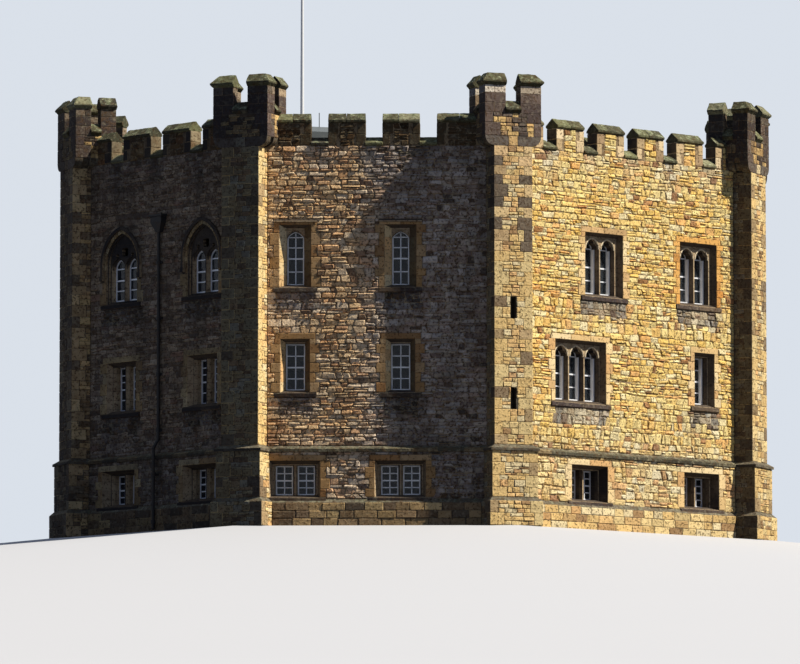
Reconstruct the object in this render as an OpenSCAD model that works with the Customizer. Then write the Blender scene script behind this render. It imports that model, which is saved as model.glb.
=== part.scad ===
// Castle keep: an eight-sided masonry tower with a corbelled, crenellated head on every corner.
// The front faces -Y and the ground is z = 0.

/* [Plan] */
// Length of the front and back faces, corner to corner
front_l = 8800; // [8400:50:9600]
// Length of the front right and back left faces
long_l = 11500; // [11000:50:12500]
// Length of the right and left faces
side_l = 4000; // [3900:50:4600]
// Length of the front left and back right faces
slant_l = 8650; // [8500:50:9200]
// Thickness of the outer walls
wall_t = 1200; // [1000:50:1500]

/* [Heights] */
// Top of the plinth, below its chamfer
plinth_z = 800; // [700:10:850]
// Underside of the string course
string_z = 2500; // [2450:10:2600]
// Top of the ground floor
ground_z = 300; // [200:10:400]
// Top of the first floor
first_z = 3700; // [3500:10:3900]
// Top of the second floor
second_z = 7200; // [7000:10:7400]
// Top of the walls, under the roof deck and the parapets
wall_top = 11700; // [11500:10:11900]
// Top of the parapet's breast wall, under the merlons
breast_z = 12740; // [12700:10:12800]
// Ridge of the merlon copings
merlon_ridge = 13850; // [13780:10:13880]

/* [Parapet] */
// Thickness of the breast walls and merlons
parapet_t = 450; // [380:10:480]
// Width of the embrasures on the front and back
front_gap = 585; // [520:5:650]
// Width of the embrasures on the other long faces
long_gap = 640; // [560:5:700]
// Width of the embrasures on the slanting faces
slant_gap = 620; // [560:5:750]

/* [Corner heads] */
// Half of the width of a corner buttress
butt_hw = 675; // [620:5:700]
// How far a buttress stands out from its corner
butt_out = 390; // [340:5:420]
// Radius of the quarter-round corbels
corbel_r = 325; // [280:5:330]
// Depth of a head, front to back
head_d = 1440; // [1400:10:1500]
// Thickness of a head's walls
head_t = 320; // [280:10:340]
// Underside of the corner merlons
head_sill = 13780; // [13780:10:13850]
// Underside of the corner merlons' copings
head_cap = 14700; // [14600:10:14800]

/* [Windows] */
// Width of one light
light_w = 580; // [540:5:600]
// Thickness of a mullion
mullion_w = 150; // [140:5:180]
// Depth of the splayed recess in front of the stone panel
recess_d = 200; // [180:5:240]
// Thickness of the stone panel that holds the lights
panel_t = 290; // [240:5:300]
// Width of the dressed stone band around a recess
band_w = 190; // [150:5:200]
// Depth of the recess of a pointed window
point_d = 150; // [130:5:180]

/* [Roof] */
// Top of the flagpole
pole_top = 20500; // [18000:100:22000]
// Diameter of the flagpole at its foot
pole_d = 150; // [120:5:180]
// Diameter of the rainwater pipe
pipe_d = 110; // [90:5:120]

/* [Hidden] */
$fn = 48;

stone = "tan";
dressed = "rosybrown";
coping = "darkolivegreen";
mitre = tan(22.5);
eps = 10;
floor_t = 300;
deck_t = 250;
lower_out = 120;
plinth_out = 240;
string_out = 180;
string_h = 80;
weather_h = 120;
plinth_chamfer = 130;
corner_gain = 130;
base_lift = 20;

// Plan: side i starts at corner i and runs at 45 degrees times i, with the inside on its left.
side_len = [front_l, long_l, side_l, slant_l, front_l, long_l, side_l, slant_l];
half_x = (front_l + (long_l + slant_l) / sqrt(2)) / 2;
half_y = (side_l + (long_l + slant_l) / sqrt(2)) / 2;
corner_0 = [-half_x + slant_l / sqrt(2), -half_y];
function along(i) = [cos(45 * i), sin(45 * i)];
function corner(i) = i == 0 ? corner_0 : corner(i - 1) + side_len[i - 1] * along(i - 1);

// Windows of one side: distance along the side and kind, for the lower, middle and upper storeys.
lower_plan = [
    [[1670, "low_twin"], [5180, "low_twin"]],
    [[3640, "low_twin"], [9020, "low_twin"]],
    [[2000, "low_single"]],
    [[2350, "low_twin"], [6510, "low_twin"]]
];
middle_plan = [
    [[1670, "flat"], [5180, "flat"]],
    [[3340, "triple"], [9300, "single"]],
    [[2000, "flat"]],
    [[2350, "square_twin"], [6510, "square_twin"]]
];
upper_plan = [
    [[1670, "arched"], [5180, "arched"]],
    [[4460, "twin"], [9020, "twin"]],
    [[2000, "arched"]],
    [[2350, "pointed"], [6510, "pointed"]]
];
door_u = 7000;

// Kind: recess width, bottom and height, lights, light width, head form, wall face.
function kind(name) =
    name == "low_twin" ? [1700, 980, 1220, 2, light_w, "square", -lower_out] :
    name == "low_single" ? [970, 980, 1220, 1, light_w, "square", -lower_out] :
    name == "flat" ? [980, 4480, 1790, 1, 640, "square", 0] :
    name == "single" ? [970, 4500, 1840, 1, light_w, "square", 0] :
    name == "square_twin" ? [1530, 4170, 1730, 2, 520, "square", 0] :
    name == "triple" ? [2400, 4300, 2100, 3, light_w, "cusped", 0] :
    name == "twin" ? [1800, 7950, 2150, 2, light_w, "cusped", 0] :
    name == "arched" ? [1060, 8000, 2100, 1, 570, "arched", 0] :
    [1620, 7910, 2300, 2, 560, "pointed", 0];

// Room between the head of a light and the head of its recess.
function head_room(k) = k[5] == "square" ? 130 : 190;

// Arc centres of a light's head, past the middle and below the springing, as parts of its half width.
function arch_form(form) = form == "arched" ? [0.4, 0.85] : form == "cusped" ? [0.15, 0] : [0.28, 0];
function rise_of(a, b) = sqrt(pow(1 + a, 2) + b * b - a * a) - b;
function arch_rise(form, hw) = form == "square" ? 0 : hw * rise_of(arch_form(form)[0], arch_form(form)[1]);

sill_rise = 90;
sill_h = 170;
sill_out = 60;
splay = 100;
order_w = 50;
order_d = 110;
lap = 30;
stile = 45;
rail = 60;
meeting = 50;
sash_t = 60;
glass_t = 8;
panel_back = recess_d + panel_t;
label_out = 60;

// Pointed windows: the arch springs from spring_z, with the centres of its arcs past the middle.
spring_z = 9250;
arch_c = 300;
point_hw = 750;
point_light_z = 9110;
point_back = 300;
eye_r = 85;
eye_rise = 430;
foil_r = 95;
dagger_x = 390;
dagger_rise = 330;
dagger_r = 70;
hood_hw = 1025;
hood_w = 105;
hood_out = 90;
stop_w = 160;

module on_side(i, u = 0) {
    translate([corner(i)[0], corner(i)[1], 0]) rotate([0, 0, 45 * i]) translate([u, 0, 0]) children();
}

module at_corner(i) {
    translate([corner(i)[0], corner(i)[1], 0]) rotate([0, 0, 45 * i - 22.5]) children();
}

// Extrudes an outline drawn in x and z from y0 to y1.
module along_y(y0, y1) {
    translate([0, y1, 0]) rotate([90, 0, 0]) linear_extrude(y1 - y0) children();
}

// Extrudes an outline drawn in y and z from x0 to x1.
module across_x(x0, x1) {
    translate([x0, 0, 0]) rotate([90, 0, 90]) linear_extrude(x1 - x0) children();
}

// A straight band of masonry along side i with mitred ends.
module band(i, y0, y1, z0, z1) {
    l = side_len[i];
    translate([0, 0, z0]) linear_extrude(z1 - z0)
        polygon([[y0 * mitre, y0], [l - y0 * mitre, y0], [l - y1 * mitre, y1], [y1 * mitre, y1]]);
}

module octagon(inset) {
    polygon([for (i = [0:7]) corner(i)
        + inset * [-sin(45 * i - 22.5), cos(45 * i - 22.5)] / cos(22.5)]);
}

// An opening with a head of two arcs, struck from centres a past the middle and b below the springing.
module two_arcs(hw, z0, zs, a, b) {
    r = norm([hw + a, b]);
    translate([-hw, z0]) square([2 * hw, zs - z0]);
    intersection() {
        translate([-a, zs - b]) circle(r, $fn = 180);
        translate([a, zs - b]) circle(r, $fn = 180);
        translate([-hw, zs]) square([2 * hw, r]);
    }
}

// An opening with the head of one window form.
module headed(form, hw, z0, zs) {
    if (form == "square") translate([-hw, z0]) square([2 * hw, zs - z0]);
    else two_arcs(hw, z0, zs, hw * arch_form(form)[0], hw * arch_form(form)[1]);
}

// The pointed outline of the traceried windows, at any half width.
module pointed(hw, z0) {
    two_arcs(hw, z0, spring_z, arch_c, 0);
}

// Front and back of the stone panel that holds the lights.
function panel_face(k) = k[5] == "pointed" ? point_d : recess_d;
function sash_face(k) = k[5] == "pointed" ? point_back : panel_back;

function light_spring(k) = k[5] == "pointed" ? point_light_z :
    k[1] + k[2] - head_room(k) - arch_rise(k[5], k[4] / 2);

// The clear outline of one light.
module light_2d(k) {
    hw = k[4] / 2;
    z0 = k[1] + sill_rise;
    zs = light_spring(k);
    if (k[5] == "cusped") {
        translate([-hw, z0]) square([2 * hw, zs - z0]);
        for (s = [-1, 1]) translate([s * hw * 0.43, zs + hw * 0.1]) circle(hw * 0.52);
        translate([0, zs + hw * 0.63]) circle(hw * 0.48);
    }
    else headed(k[5], hw, z0, zs);
}

// The outline of a sash, or of its panes, set in from the light's edge by d.
module sash_2d(k, d) {
    zs = light_spring(k);
    headed(k[5], k[4] / 2 - d, k[1] + sill_rise + d, k[5] == "square" ? zs - d : zs);
}

// Places its children at the middle of every light of a window.
module each_light(k) {
    pitch = k[4] + mullion_w;
    for (n = [0:k[3] - 1]) translate([(n - (k[3] - 1) / 2) * pitch, 0, 0]) children();
}

// The whole hole that a window makes through the wall.
module window_hole(name) {
    k = kind(name);
    hw = k[0] / 2 + band_w;
    if (k[5] == "pointed") along_y(-eps, wall_t + eps) pointed(hw, k[1] - sill_h);
    else translate([-hw, k[6] - eps, k[1] - sill_h])
        cube([2 * hw, wall_t - k[6] + 2 * eps, k[2] + sill_h + band_w]);
}

// The splayed recess, with a sloping sill and a splayed head.
module recess(k) {
    hw = k[0] / 2;
    z0 = k[1];
    z1 = k[1] + k[2];
    y0 = k[6];
    y1 = recess_d;
    intersection() {
        translate([0, 0, z0 - eps]) linear_extrude(k[2] + 2 * eps)
            polygon([[-hw, y0 - eps], [hw, y0 - eps], [hw, y0],
                [hw - splay, y1], [splay - hw, y1], [-hw, y0]]);
        across_x(-hw, hw) polygon([[y0 - eps, z0], [y0, z0], [y1, z0 + sill_rise],
            [y1, z1 - splay], [y0, z1], [y0 - eps, z1]]);
    }
}

// A sill stone that stands out from the wall face and sheds water.
module sill_stone(hw, y0, z0) {
    across_x(-hw, hw) polygon([[y0 - sill_out, z0 - sill_h + 30], [y0, z0 - sill_h],
        [y0 + sill_out, z0 - sill_h], [y0 + sill_out, z0], [y0 - sill_out, z0 - 40]]);
}

// The cut of one light: chamfered jambs below its springing and a stepped order round its arch.
module light_cut(k) {
    hw = k[4] / 2;
    y0 = panel_face(k);
    z0 = k[1] + sill_rise;
    zs = light_spring(k);
    along_y(y0 - eps, sash_face(k) + eps) light_2d(k);
    translate([0, 0, z0]) linear_extrude(zs - z0)
        polygon([[-hw - order_w, y0 - eps], [hw + order_w, y0 - eps], [hw + order_w, y0],
            [hw, y0 + order_d], [-hw, y0 + order_d], [-hw - order_w, y0]]);
    if (k[5] != "square") along_y(y0 - eps, y0 + order_d / 2) headed(k[5], hw + order_w, zs - eps, zs);
}

// A weathered label over the head of a window.
module label_stone(hw, z) {
    across_x(-hw, hw) polygon([[0, z - 40], [0, z + label_out], [-label_out, z], [-label_out, z - 40]]);
}

// Dressed stone surround, stone panel and mullions of one square window.
module square_stone(name) {
    k = kind(name);
    hw = k[0] / 2 + band_w;
    difference() {
        union() {
            translate([-hw, k[6], k[1] - sill_h]) cube([2 * hw, panel_back - k[6], k[2] + sill_h + band_w]);
            sill_stone(hw, k[6], k[1]);
            if (name == "arched") label_stone(hw, k[1] + k[2] + band_w - label_out);
        }
        recess(k);
        each_light(k) light_cut(k);
    }
}

// A pointed window: two orders, two lights and an eye between them, under a hood mould.
module pointed_stone() {
    k = kind("pointed");
    difference() {
        union() {
            along_y(0, point_back) pointed(k[0] / 2 + band_w, k[1] - sill_h);
            sill_stone(k[0] / 2 + band_w, 0, k[1]);
        }
        along_y(-eps, point_d / 2) pointed(k[0] / 2, k[1]);
        along_y(0, point_d) pointed(point_hw, k[1] + sill_rise / 2);
        each_light(k) light_cut(k);
        along_y(point_d - eps, point_back + eps) {
            translate([0, spring_z + eye_rise]) for (q = [0:3])
                rotate(45 + 90 * q) translate([eye_r, 0]) circle(foil_r);
            for (m = [-1, 1]) translate([m * dagger_x, spring_z + dagger_rise]) circle(dagger_r);
        }
    }
    hood();
}

// A hood mould over the arch, with a square stop at each end.
module hood() {
    foot = spring_z - 350;
    difference() {
        along_y(-hood_out, 0) pointed(hood_hw, foot);
        along_y(-hood_out - eps, eps) pointed(hood_hw - hood_w, foot - eps);
    }
    for (m = [-1, 1]) translate([m * (hood_hw - hood_w / 2) - stop_w / 2, -hood_out - 20, foot - stop_w])
        cube([stop_w, hood_out + 20, stop_w]);
}

module window_stone(name) {
    if (name == "pointed") pointed_stone();
    else square_stone(name);
}

// The two openings of a sash, above and below its meeting rail.
module pane_2d(k) {
    z0 = k[1] + sill_rise;
    zm = (z0 + light_spring(k) + arch_rise(k[5], k[4] / 2)) / 2;
    difference() {
        sash_2d(k, stile);
        translate([-k[4], zm - meeting / 2]) square([2 * k[4], meeting]);
        translate([-k[4], z0]) square([2 * k[4], rail]);
    }
}

module window_sash(name) {
    k = kind(name);
    each_light(k) difference() {
        along_y(sash_face(k), sash_face(k) + sash_t) sash_2d(k, -lap);
        along_y(sash_face(k) - eps, sash_face(k) + sash_t + eps) pane_2d(k);
    }
}

module window_glass(name) {
    k = kind(name);
    y0 = sash_face(k) + (sash_t - glass_t) / 2;
    each_light(k) along_y(y0, y0 + glass_t) pane_2d(k);
}

// Runs over every window of a storey: the back half of the plan repeats the front half.
module windows(plan, part) {
    for (i = [0:7]) for (w = plan[i % 4]) on_side(i, w[0]) {
        if (part == "stone") window_stone(w[1]);
        if (part == "sash") window_sash(w[1]);
        if (part == "glass") window_glass(w[1]);
    }
}

// One wall of the keep, with its lower stage thicker and every window cut through.
module wall(i) {
    color(stone) on_side(i) difference() {
        union() {
            band(i, -lower_out, wall_t, 0, string_z);
            band(i, 0, wall_t, string_z, wall_top);
        }
        for (plan = [lower_plan, middle_plan, upper_plan]) for (w = plan[i % 4])
            translate([w[0], 0, 0]) window_hole(w[1]);
        if (i == 4) translate([door_u, 0, 0]) door_hole();
    }
}

// Outline of a buttress seen from the front, from the middle out, and from the side.
function stage(upper, lower, base) = [
    [base, 0], [base, plinth_z + base_lift], [lower, plinth_z + base_lift + plinth_chamfer], [lower, string_z],
    [lower + string_out - lower_out, string_z], [lower + string_out - lower_out, string_z + string_h],
    [upper, string_z + string_h + weather_h], [upper, corbel_z]
];
corbel_z = 13000 - corbel_r;
head_hw = butt_hw + corbel_r;
head_back = head_d - butt_out;
low_hw = butt_hw + corner_gain;
base_hw = low_hw + corner_gain;

module buttress_block() {
    front = stage(butt_hw, low_hw, base_hw);
    side = stage(butt_out, butt_out + corner_gain, butt_out + 2 * corner_gain);
    intersection() {
        along_y(-2000, head_back) polygon(concat(front, [for (n = [7:-1:0]) [-front[n][0], front[n][1]]]));
        across_x(-base_hw, base_hw)
            polygon(concat([for (p = side) [-p[0], p[1]]], [[head_back, corbel_z], [head_back, 0]]));
    }
}

// Quarter-round corbels: a stone at the front, one at the back and a shallower filling between.
module corbels() {
    for (s = [[-butt_out, -butt_out + 270, 0], [-butt_out + 270, 110, 70], [110, head_back, 0]])
        along_y(s[0], s[1]) {
            translate([-butt_hw, corbel_z]) square([2 * butt_hw, corbel_r]);
            intersection() {
                union() {
                    for (m = [-1, 1]) translate([m * butt_hw, corbel_z + corbel_r]) circle(corbel_r - s[2]);
                }
                translate([-head_hw, corbel_z]) square([2 * head_hw, corbel_r]);
            }
        }
}

// The full mass of a buttress and its head, which the walls and parapets are cut to.
module corner_mass() {
    buttress_block();
    corbels();
    translate([-head_hw, -butt_out, corbel_z + corbel_r])
        cube([2 * head_hw, head_d, head_sill - corbel_z - corbel_r]);
}

slit_w = 200;
slit_h = 730;
slit_depth = 350;

module buttress(i) {
    color(dressed) at_corner(i) difference() {
        corner_mass();
        corner_void(lower_out, -eps, string_z);
        corner_void(0, string_z - eps, wall_top);
        translate([head_t - head_hw, head_t - butt_out, corbel_z + corbel_r + 200])
            cube([2 * (head_hw - head_t), head_d - 2 * head_t, head_sill]);
        if (i % 4 == 1) for (z = [3880, 6900])
            translate([-slit_w / 2, -butt_out - eps, z]) cube([slit_w, slit_depth + eps, slit_h]);
    }
}

// The space that the walls take up at a corner, out to a face that stands out by out.
module corner_void(out, z0, z1) {
    reach = 3000;
    translate([0, -out / cos(22.5), z0]) linear_extrude(z1 - z0)
        polygon([[0, 0], [reach, reach * mitre], [reach, 2 * reach],
            [-reach, 2 * reach], [-reach, reach * mitre]]);
}

// The room of both corners of a side, up past the ridges of its copings.
module corner_masses(i) {
    for (n = [i, (i + 1) % 8]) at_corner(n) {
        corner_mass();
        translate([-head_hw, -butt_out, head_sill - eps]) cube([2 * head_hw, head_d, 200]);
    }
}

module parapet(i) {
    color(stone) difference() {
        on_side(i) band(i, 0, parapet_t, wall_top, breast_z);
        corner_masses(i);
    }
}

// Embrasures of each kind of side: how many, their pitch, their width and their shift.
crenels = [
    [3, 1815, front_gap, -100], [5, 1917, long_gap, 0], [1, 1900, long_gap, 0], [3, 2040, slant_gap, -165]
];
function crenel(i) = crenels[i % 4];
function gap_mid(i, n) = side_len[i] / 2 + crenel(i)[3] + (n - (crenel(i)[0] - 1) / 2) * crenel(i)[1];
coping_h = 340;
coping_out = 70;
coping_under = 40;
coping_edge = 60;
coping_over = 10;
sill_ridge = 310;
ridge_hw = 15;
merlon_top = merlon_ridge - coping_h;

// Merlon n of a side stands between gap n - 1 and gap n.
function merlon_x0(i, n) = n == 0 ? 0 : gap_mid(i, n - 1) + crenel(i)[2] / 2;
function merlon_x1(i, n) = n == crenel(i)[0] ? side_len[i] : gap_mid(i, n) - crenel(i)[2] / 2;

module merlon_row(i) {
    for (n = [0:crenel(i)[0]])
        translate([merlon_x0(i, n), 0, breast_z])
            cube([merlon_x1(i, n) - merlon_x0(i, n), parapet_t, merlon_top - breast_z]);
}

module merlons() {
    color(stone) for (i = [0:7]) difference() {
        on_side(i) merlon_row(i);
        corner_masses(i);
    }
}

// Saddleback section of a coping on a wall of thickness t: its height, how far it stands out,
// the height of its undercut and the thickness of its edge.
function saddle(t, h, out, under, edge) = [
    [0, 0], [t, 0], [t + out, under], [t + out, under + edge], [t / 2 + ridge_hw, h],
    [t / 2 - ridge_hw, h], [-out, under + edge], [-out, under]
];

module coping_row(i) {
    last = crenel(i)[0];
    for (n = [0:last]) {
        x0 = merlon_x0(i, n) - (n == 0 ? 0 : coping_over);
        x1 = merlon_x1(i, n) + (n == last ? 0 : coping_over);
        translate([0, 0, merlon_top]) across_x(x0, x1)
            polygon(saddle(parapet_t, coping_h, coping_out, coping_under, coping_edge));
    }
}

// Embrasure sills are gabled like the copings.
module sill_row(i) {
    for (n = [0:crenel(i)[0] - 1])
        translate([0, 0, breast_z]) across_x(merlon_x1(i, n), merlon_x0(i, n + 1))
            polygon(saddle(parapet_t, sill_ridge, coping_out, coping_under, coping_edge));
}

module parapet_copings() {
    color(coping) for (i = [0:7]) {
        difference() {
            on_side(i) coping_row(i);
            corner_masses(i);
        }
        on_side(i) sill_row(i);
    }
}

// Gaps at the front and flanks of a head; its back is open from flank to flank.
head_gap = 540;
flank_gap = 360;
head_mid = -butt_out + head_d / 2;
inner_hw = head_hw - head_t;

// L-shaped merlons at a head's front corners and straight ones at its back corners.
module head_merlons() {
    color(dressed) for (i = [0:7]) at_corner(i) translate([0, 0, head_sill])
        linear_extrude(head_cap - head_sill) difference() {
            translate([-head_hw, -butt_out]) square([2 * head_hw, head_d]);
            translate([-inner_hw, head_t - butt_out]) square([2 * inner_hw, head_d]);
            translate([-head_gap / 2, -butt_out - eps]) square([head_gap, head_d]);
            translate([-2 * head_hw, head_mid - flank_gap / 2]) square([4 * head_hw, flank_gap]);
        }
}

cap_h = 420;
cap_out = 90;
cap_under = 100;
cap_edge = 50;
cap_over = 30;

// Section through a whole head: outer slopes of its coping, for a half width hw.
function cap_outer(hw) = [
    [hw, 0], [hw + cap_out, cap_under], [hw + cap_out, cap_under + cap_edge],
    [hw - head_t / 2 + ridge_hw, cap_h], [-(hw - head_t / 2 + ridge_hw), cap_h],
    [-hw - cap_out, cap_under + cap_edge], [-hw - cap_out, cap_under], [-hw, 0]
];
// The inner slopes, from one side's foot over the ridges' level to the other's.
function cap_half(hw) = [
    [hw - head_t, -eps], [hw - head_t, 0], [hw - head_t - cap_out, cap_under],
    [hw - head_t - cap_out, cap_under + cap_edge], [hw - head_t / 2 - ridge_hw, cap_h],
    [hw - head_t / 2 - ridge_hw, cap_h + eps]
];
function cap_inner(hw) = concat(cap_half(hw), [for (n = [5:-1:0]) [-cap_half(hw)[n][0], cap_half(hw)[n][1]]]);

// Mitred saddleback copings on the two front merlons of one head, and straight ones on the back two.
module head_coping() {
    reach = 2 * head_d;
    hd = head_d / 2;
    flank = flank_gap / 2 - cap_over;
    translate([0, head_mid, head_cap]) {
        difference() {
            intersection() {
                along_y(-reach, reach) polygon(cap_outer(head_hw));
                across_x(-reach, reach) polygon(cap_outer(hd));
            }
            intersection() {
                along_y(-reach, reach) polygon(cap_inner(head_hw));
                across_x(-reach, reach) polygon(cap_inner(hd));
            }
            translate([cap_over - head_gap / 2, -reach, -eps])
                cube([head_gap - 2 * cap_over, reach, cap_h + 2 * eps]);
            translate([-reach, -flank, -eps]) cube([2 * reach, reach, cap_h + 2 * eps]);
        }
        for (x = [-head_hw, inner_hw]) translate([x, 0, 0])
            along_y(flank, hd + cap_over) polygon(saddle(head_t, cap_h, cap_out, cap_under, cap_edge));
    }
}

// Gabled sills in the gaps of one head and along its open back.
module head_sills() {
    section = saddle(head_t, cap_h, cap_out, cap_under, cap_edge);
    translate([0, -butt_out, head_sill]) across_x(-head_gap / 2, head_gap / 2) polygon(section);
    translate([0, head_back - head_t, head_sill]) across_x(-inner_hw, inner_hw) polygon(section);
    for (x = [-head_hw, inner_hw]) translate([x, 0, head_sill])
        along_y(head_mid - flank_gap / 2, head_mid + flank_gap / 2) polygon(section);
}

module head_copings() {
    color(coping) for (i = [0:7]) at_corner(i) {
        head_coping();
        head_sills();
    }
}

// Plinth and string course run between the buttresses on every side.
module plinth() {
    color(stone) for (i = [0:7]) difference() {
        on_side(i) across_x(0, side_len[i])
            polygon([[-plinth_out, 0], [-lower_out, 0], [-lower_out, plinth_z + plinth_chamfer],
                [-plinth_out, plinth_z]]);
        corner_masses(i);
        if (i == 4) on_side(i, door_u) door_hole();
    }
}

module string_course() {
    color(dressed) for (i = [0:7]) difference() {
        on_side(i) across_x(0, side_len[i])
            polygon([[-string_out, string_z], [0, string_z], [0, string_z + string_h + weather_h],
                [-string_out, string_z + string_h]]);
        corner_masses(i);
    }
}

module floor_slab(z, t) {
    color("peru") translate([0, 0, z - t]) linear_extrude(t) octagon(wall_t);
}

module roof_deck() {
    color("slategray") difference() {
        translate([0, 0, wall_top]) linear_extrude(deck_t) octagon(parapet_t);
        for (i = [0:7]) at_corner(i) corner_mass();
    }
}

door_hw = 500;
door_spring = 1900;
door_band = 230;
door_back = 450;
door_top = string_z - 20;

// The doorway's hole: down to the ground in front of the door, and down to the floor behind it.
module door_hole() {
    hw = door_hw + door_band;
    translate([-hw, -plinth_out - eps, 0]) cube([2 * hw, plinth_out + door_back + eps, door_top]);
    translate([-hw, door_back - eps, ground_z])
        cube([2 * hw, wall_t - door_back + 2 * eps, door_top - ground_z]);
}

// Doorway of two orders: each arch has its own arc centres.
module back_door_surround() {
    hw = door_hw + door_band;
    color(dressed) on_side(4, door_u) difference() {
        translate([-hw, -plinth_out, 0]) cube([2 * hw, plinth_out + door_back, door_top]);
        along_y(-plinth_out - eps, door_back + eps) two_arcs(door_hw, ground_z, door_spring, 140, 480);
        along_y(-plinth_out - eps, -lower_out)
            two_arcs(door_hw + 80, ground_z - 40, door_spring + 30, 140, 540);
    }
}

module back_door() {
    color("saddlebrown") on_side(4, door_u)
        along_y(door_back, door_back + 70) two_arcs(door_hw + 50, ground_z, door_spring, 170, 540);
}

// Flagpole: tapered in three lengths, on a round foot, with a ball on top.
pole_pos = [-3940, 0];
module flagpole() {
    deck = wall_top + deck_t;
    len = pole_top - deck - pole_d;
    color("white") translate([pole_pos[0], pole_pos[1], deck]) {
        cylinder(h = 200, d = 4 * pole_d);
        cylinder(h = 900, d = 1.8 * pole_d);
        translate([0, 0, 900]) cylinder(h = len - 900, d1 = pole_d, d2 = 0.6 * pole_d);
        translate([0, 0, len]) cylinder(h = 40, d = 1.3 * pole_d);
        translate([0, 0, len + pole_d / 2]) sphere(d = pole_d);
    }
}

pipe_u = 4390;
pipe_y = -110;
pipe_low_y = -320;
bend_z = [2850, 3150];
hopper_z = 10780;
hopper_hw = 330;

// A length of pipe between two points of the plane that stands out from the wall.
module pipe_run(p, q) {
    l = norm(q - p);
    translate([0, p[0], p[1]]) rotate([-atan2(q[0] - p[0], q[1] - p[1]), 0, 0]) cylinder(h = l, d = pipe_d);
    translate([0, p[0], p[1]]) sphere(d = pipe_d + 20);
}

// Cast rainwater pipe with a hopper head, socket collars and wall brackets.
module rainwater_pipe() {
    color("dimgray") on_side(7, pipe_u) {
        pipe_run([pipe_y, bend_z[1]], [pipe_y, hopper_z - 500]);
        pipe_run([pipe_low_y, bend_z[0]], [pipe_y, bend_z[1]]);
        pipe_run([pipe_low_y, 150], [pipe_low_y, bend_z[0]]);
        for (z = [3400, 5300, 7200, 9100]) {
            translate([0, pipe_y, z]) cylinder(h = 120, d = pipe_d + 50);
            translate([-120, pipe_y + 30, z + 20]) cube([240, -pipe_y - 30, 70]);
        }
        for (z = [300, 1900]) {
            translate([0, pipe_low_y, z]) cylinder(h = 120, d = pipe_d + 50);
            wall_y = z > plinth_z ? lower_out : plinth_out;
            translate([-60, pipe_low_y, z + 20]) cube([120, -pipe_low_y - wall_y, 70]);
        }
        hopper();
    }
}

// Hopper head: a tapered box that opens upwards.
module hopper() {
    z0 = hopper_z - 600;
    depth = 300;
    difference() {
        intersection() {
            along_y(-depth, 0) polygon([[-90, z0], [90, z0], [hopper_hw - 60, z0 + 330],
                [hopper_hw - 60, z0 + 520], [hopper_hw, z0 + 540], [hopper_hw, z0 + 600],
                [-hopper_hw, z0 + 600], [-hopper_hw, z0 + 540], [60 - hopper_hw, z0 + 520],
                [60 - hopper_hw, z0 + 330]]);
            across_x(-hopper_hw, hopper_hw) polygon([[0, z0], [-170, z0], [50 - depth, z0 + 330],
                [50 - depth, z0 + 520], [-depth, z0 + 540], [-depth, z0 + 600], [0, z0 + 600]]);
        }
        translate([100 - hopper_hw, 90 - depth, z0 + 380]) cube([2 * hopper_hw - 200, depth - 130, 300]);
    }
}

// Stair hatch on the roof: a small hut with a pitched lid and a thin rod.
hatch_pos = [-3160, -4110];
hatch_turn = 20;
hatch_eaves = 1780;
hatch_ridge = 2060;
hatch_hw = 700;
hatch_hd = 900;
hatch_t = 100;

// The hut's outline from the side, drawn in by t.
module hatch_2d(t, foot) {
    polygon([[t - hatch_hd, foot], [hatch_hd - t, foot], [hatch_hd - t, hatch_eaves - t],
        [0, hatch_ridge - t], [t - hatch_hd, hatch_eaves - t]]);
}

module roof_hatch() {
    color("gray") translate([hatch_pos[0], hatch_pos[1], wall_top + deck_t]) rotate([0, 0, hatch_turn]) {
        difference() {
            across_x(-hatch_hw, hatch_hw) hatch_2d(0, 0);
            across_x(hatch_t - hatch_hw, hatch_hw - hatch_t) hatch_2d(hatch_t, -eps);
        }
        translate([0, 0, hatch_ridge - hatch_t / 2]) cylinder(h = 530, d = 30);
    }
}

wall(0);  // front_wall
wall(1);  // front_right_wall
wall(2);  // right_wall
wall(3);  // back_right_wall
wall(4);  // back_wall
wall(5);  // back_left_wall
wall(6);  // left_wall
wall(7);  // front_left_wall
buttress(0);  // front_left_buttress
buttress(1);  // front_right_buttress
buttress(2);  // right_front_buttress
buttress(3);  // right_back_buttress
buttress(4);  // back_right_buttress
buttress(5);  // back_left_buttress
buttress(6);  // left_back_buttress
buttress(7);  // left_front_buttress
parapet(0);  // front_parapet
parapet(1);  // front_right_parapet
parapet(2);  // right_parapet
parapet(3);  // back_right_parapet
parapet(4);  // back_parapet
parapet(5);  // back_left_parapet
parapet(6);  // left_parapet
parapet(7);  // front_left_parapet
merlons();
parapet_copings();
head_merlons();
head_copings();
plinth();
string_course();
floor_slab(ground_z, floor_t);  // ground_floor
floor_slab(first_z, floor_t);  // first_floor
floor_slab(second_z, floor_t);  // second_floor
roof_deck();
color(dressed) windows(lower_plan, "stone");  // lower_surrounds
color(dressed) windows(middle_plan, "stone");  // middle_surrounds
color(dressed) windows(upper_plan, "stone");  // upper_surrounds
color("white") windows(lower_plan, "sash");  // lower_sashes
color("white") windows(middle_plan, "sash");  // middle_sashes
color("white") windows(upper_plan, "sash");  // upper_sashes
color("darkslategray") windows(lower_plan, "glass");  // lower_glass
color("darkslategray") windows(middle_plan, "glass");  // middle_glass
color("darkslategray") windows(upper_plan, "glass");  // upper_glass
back_door();
back_door_surround();
flagpole();
rainwater_pipe();
roof_hatch();
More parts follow.
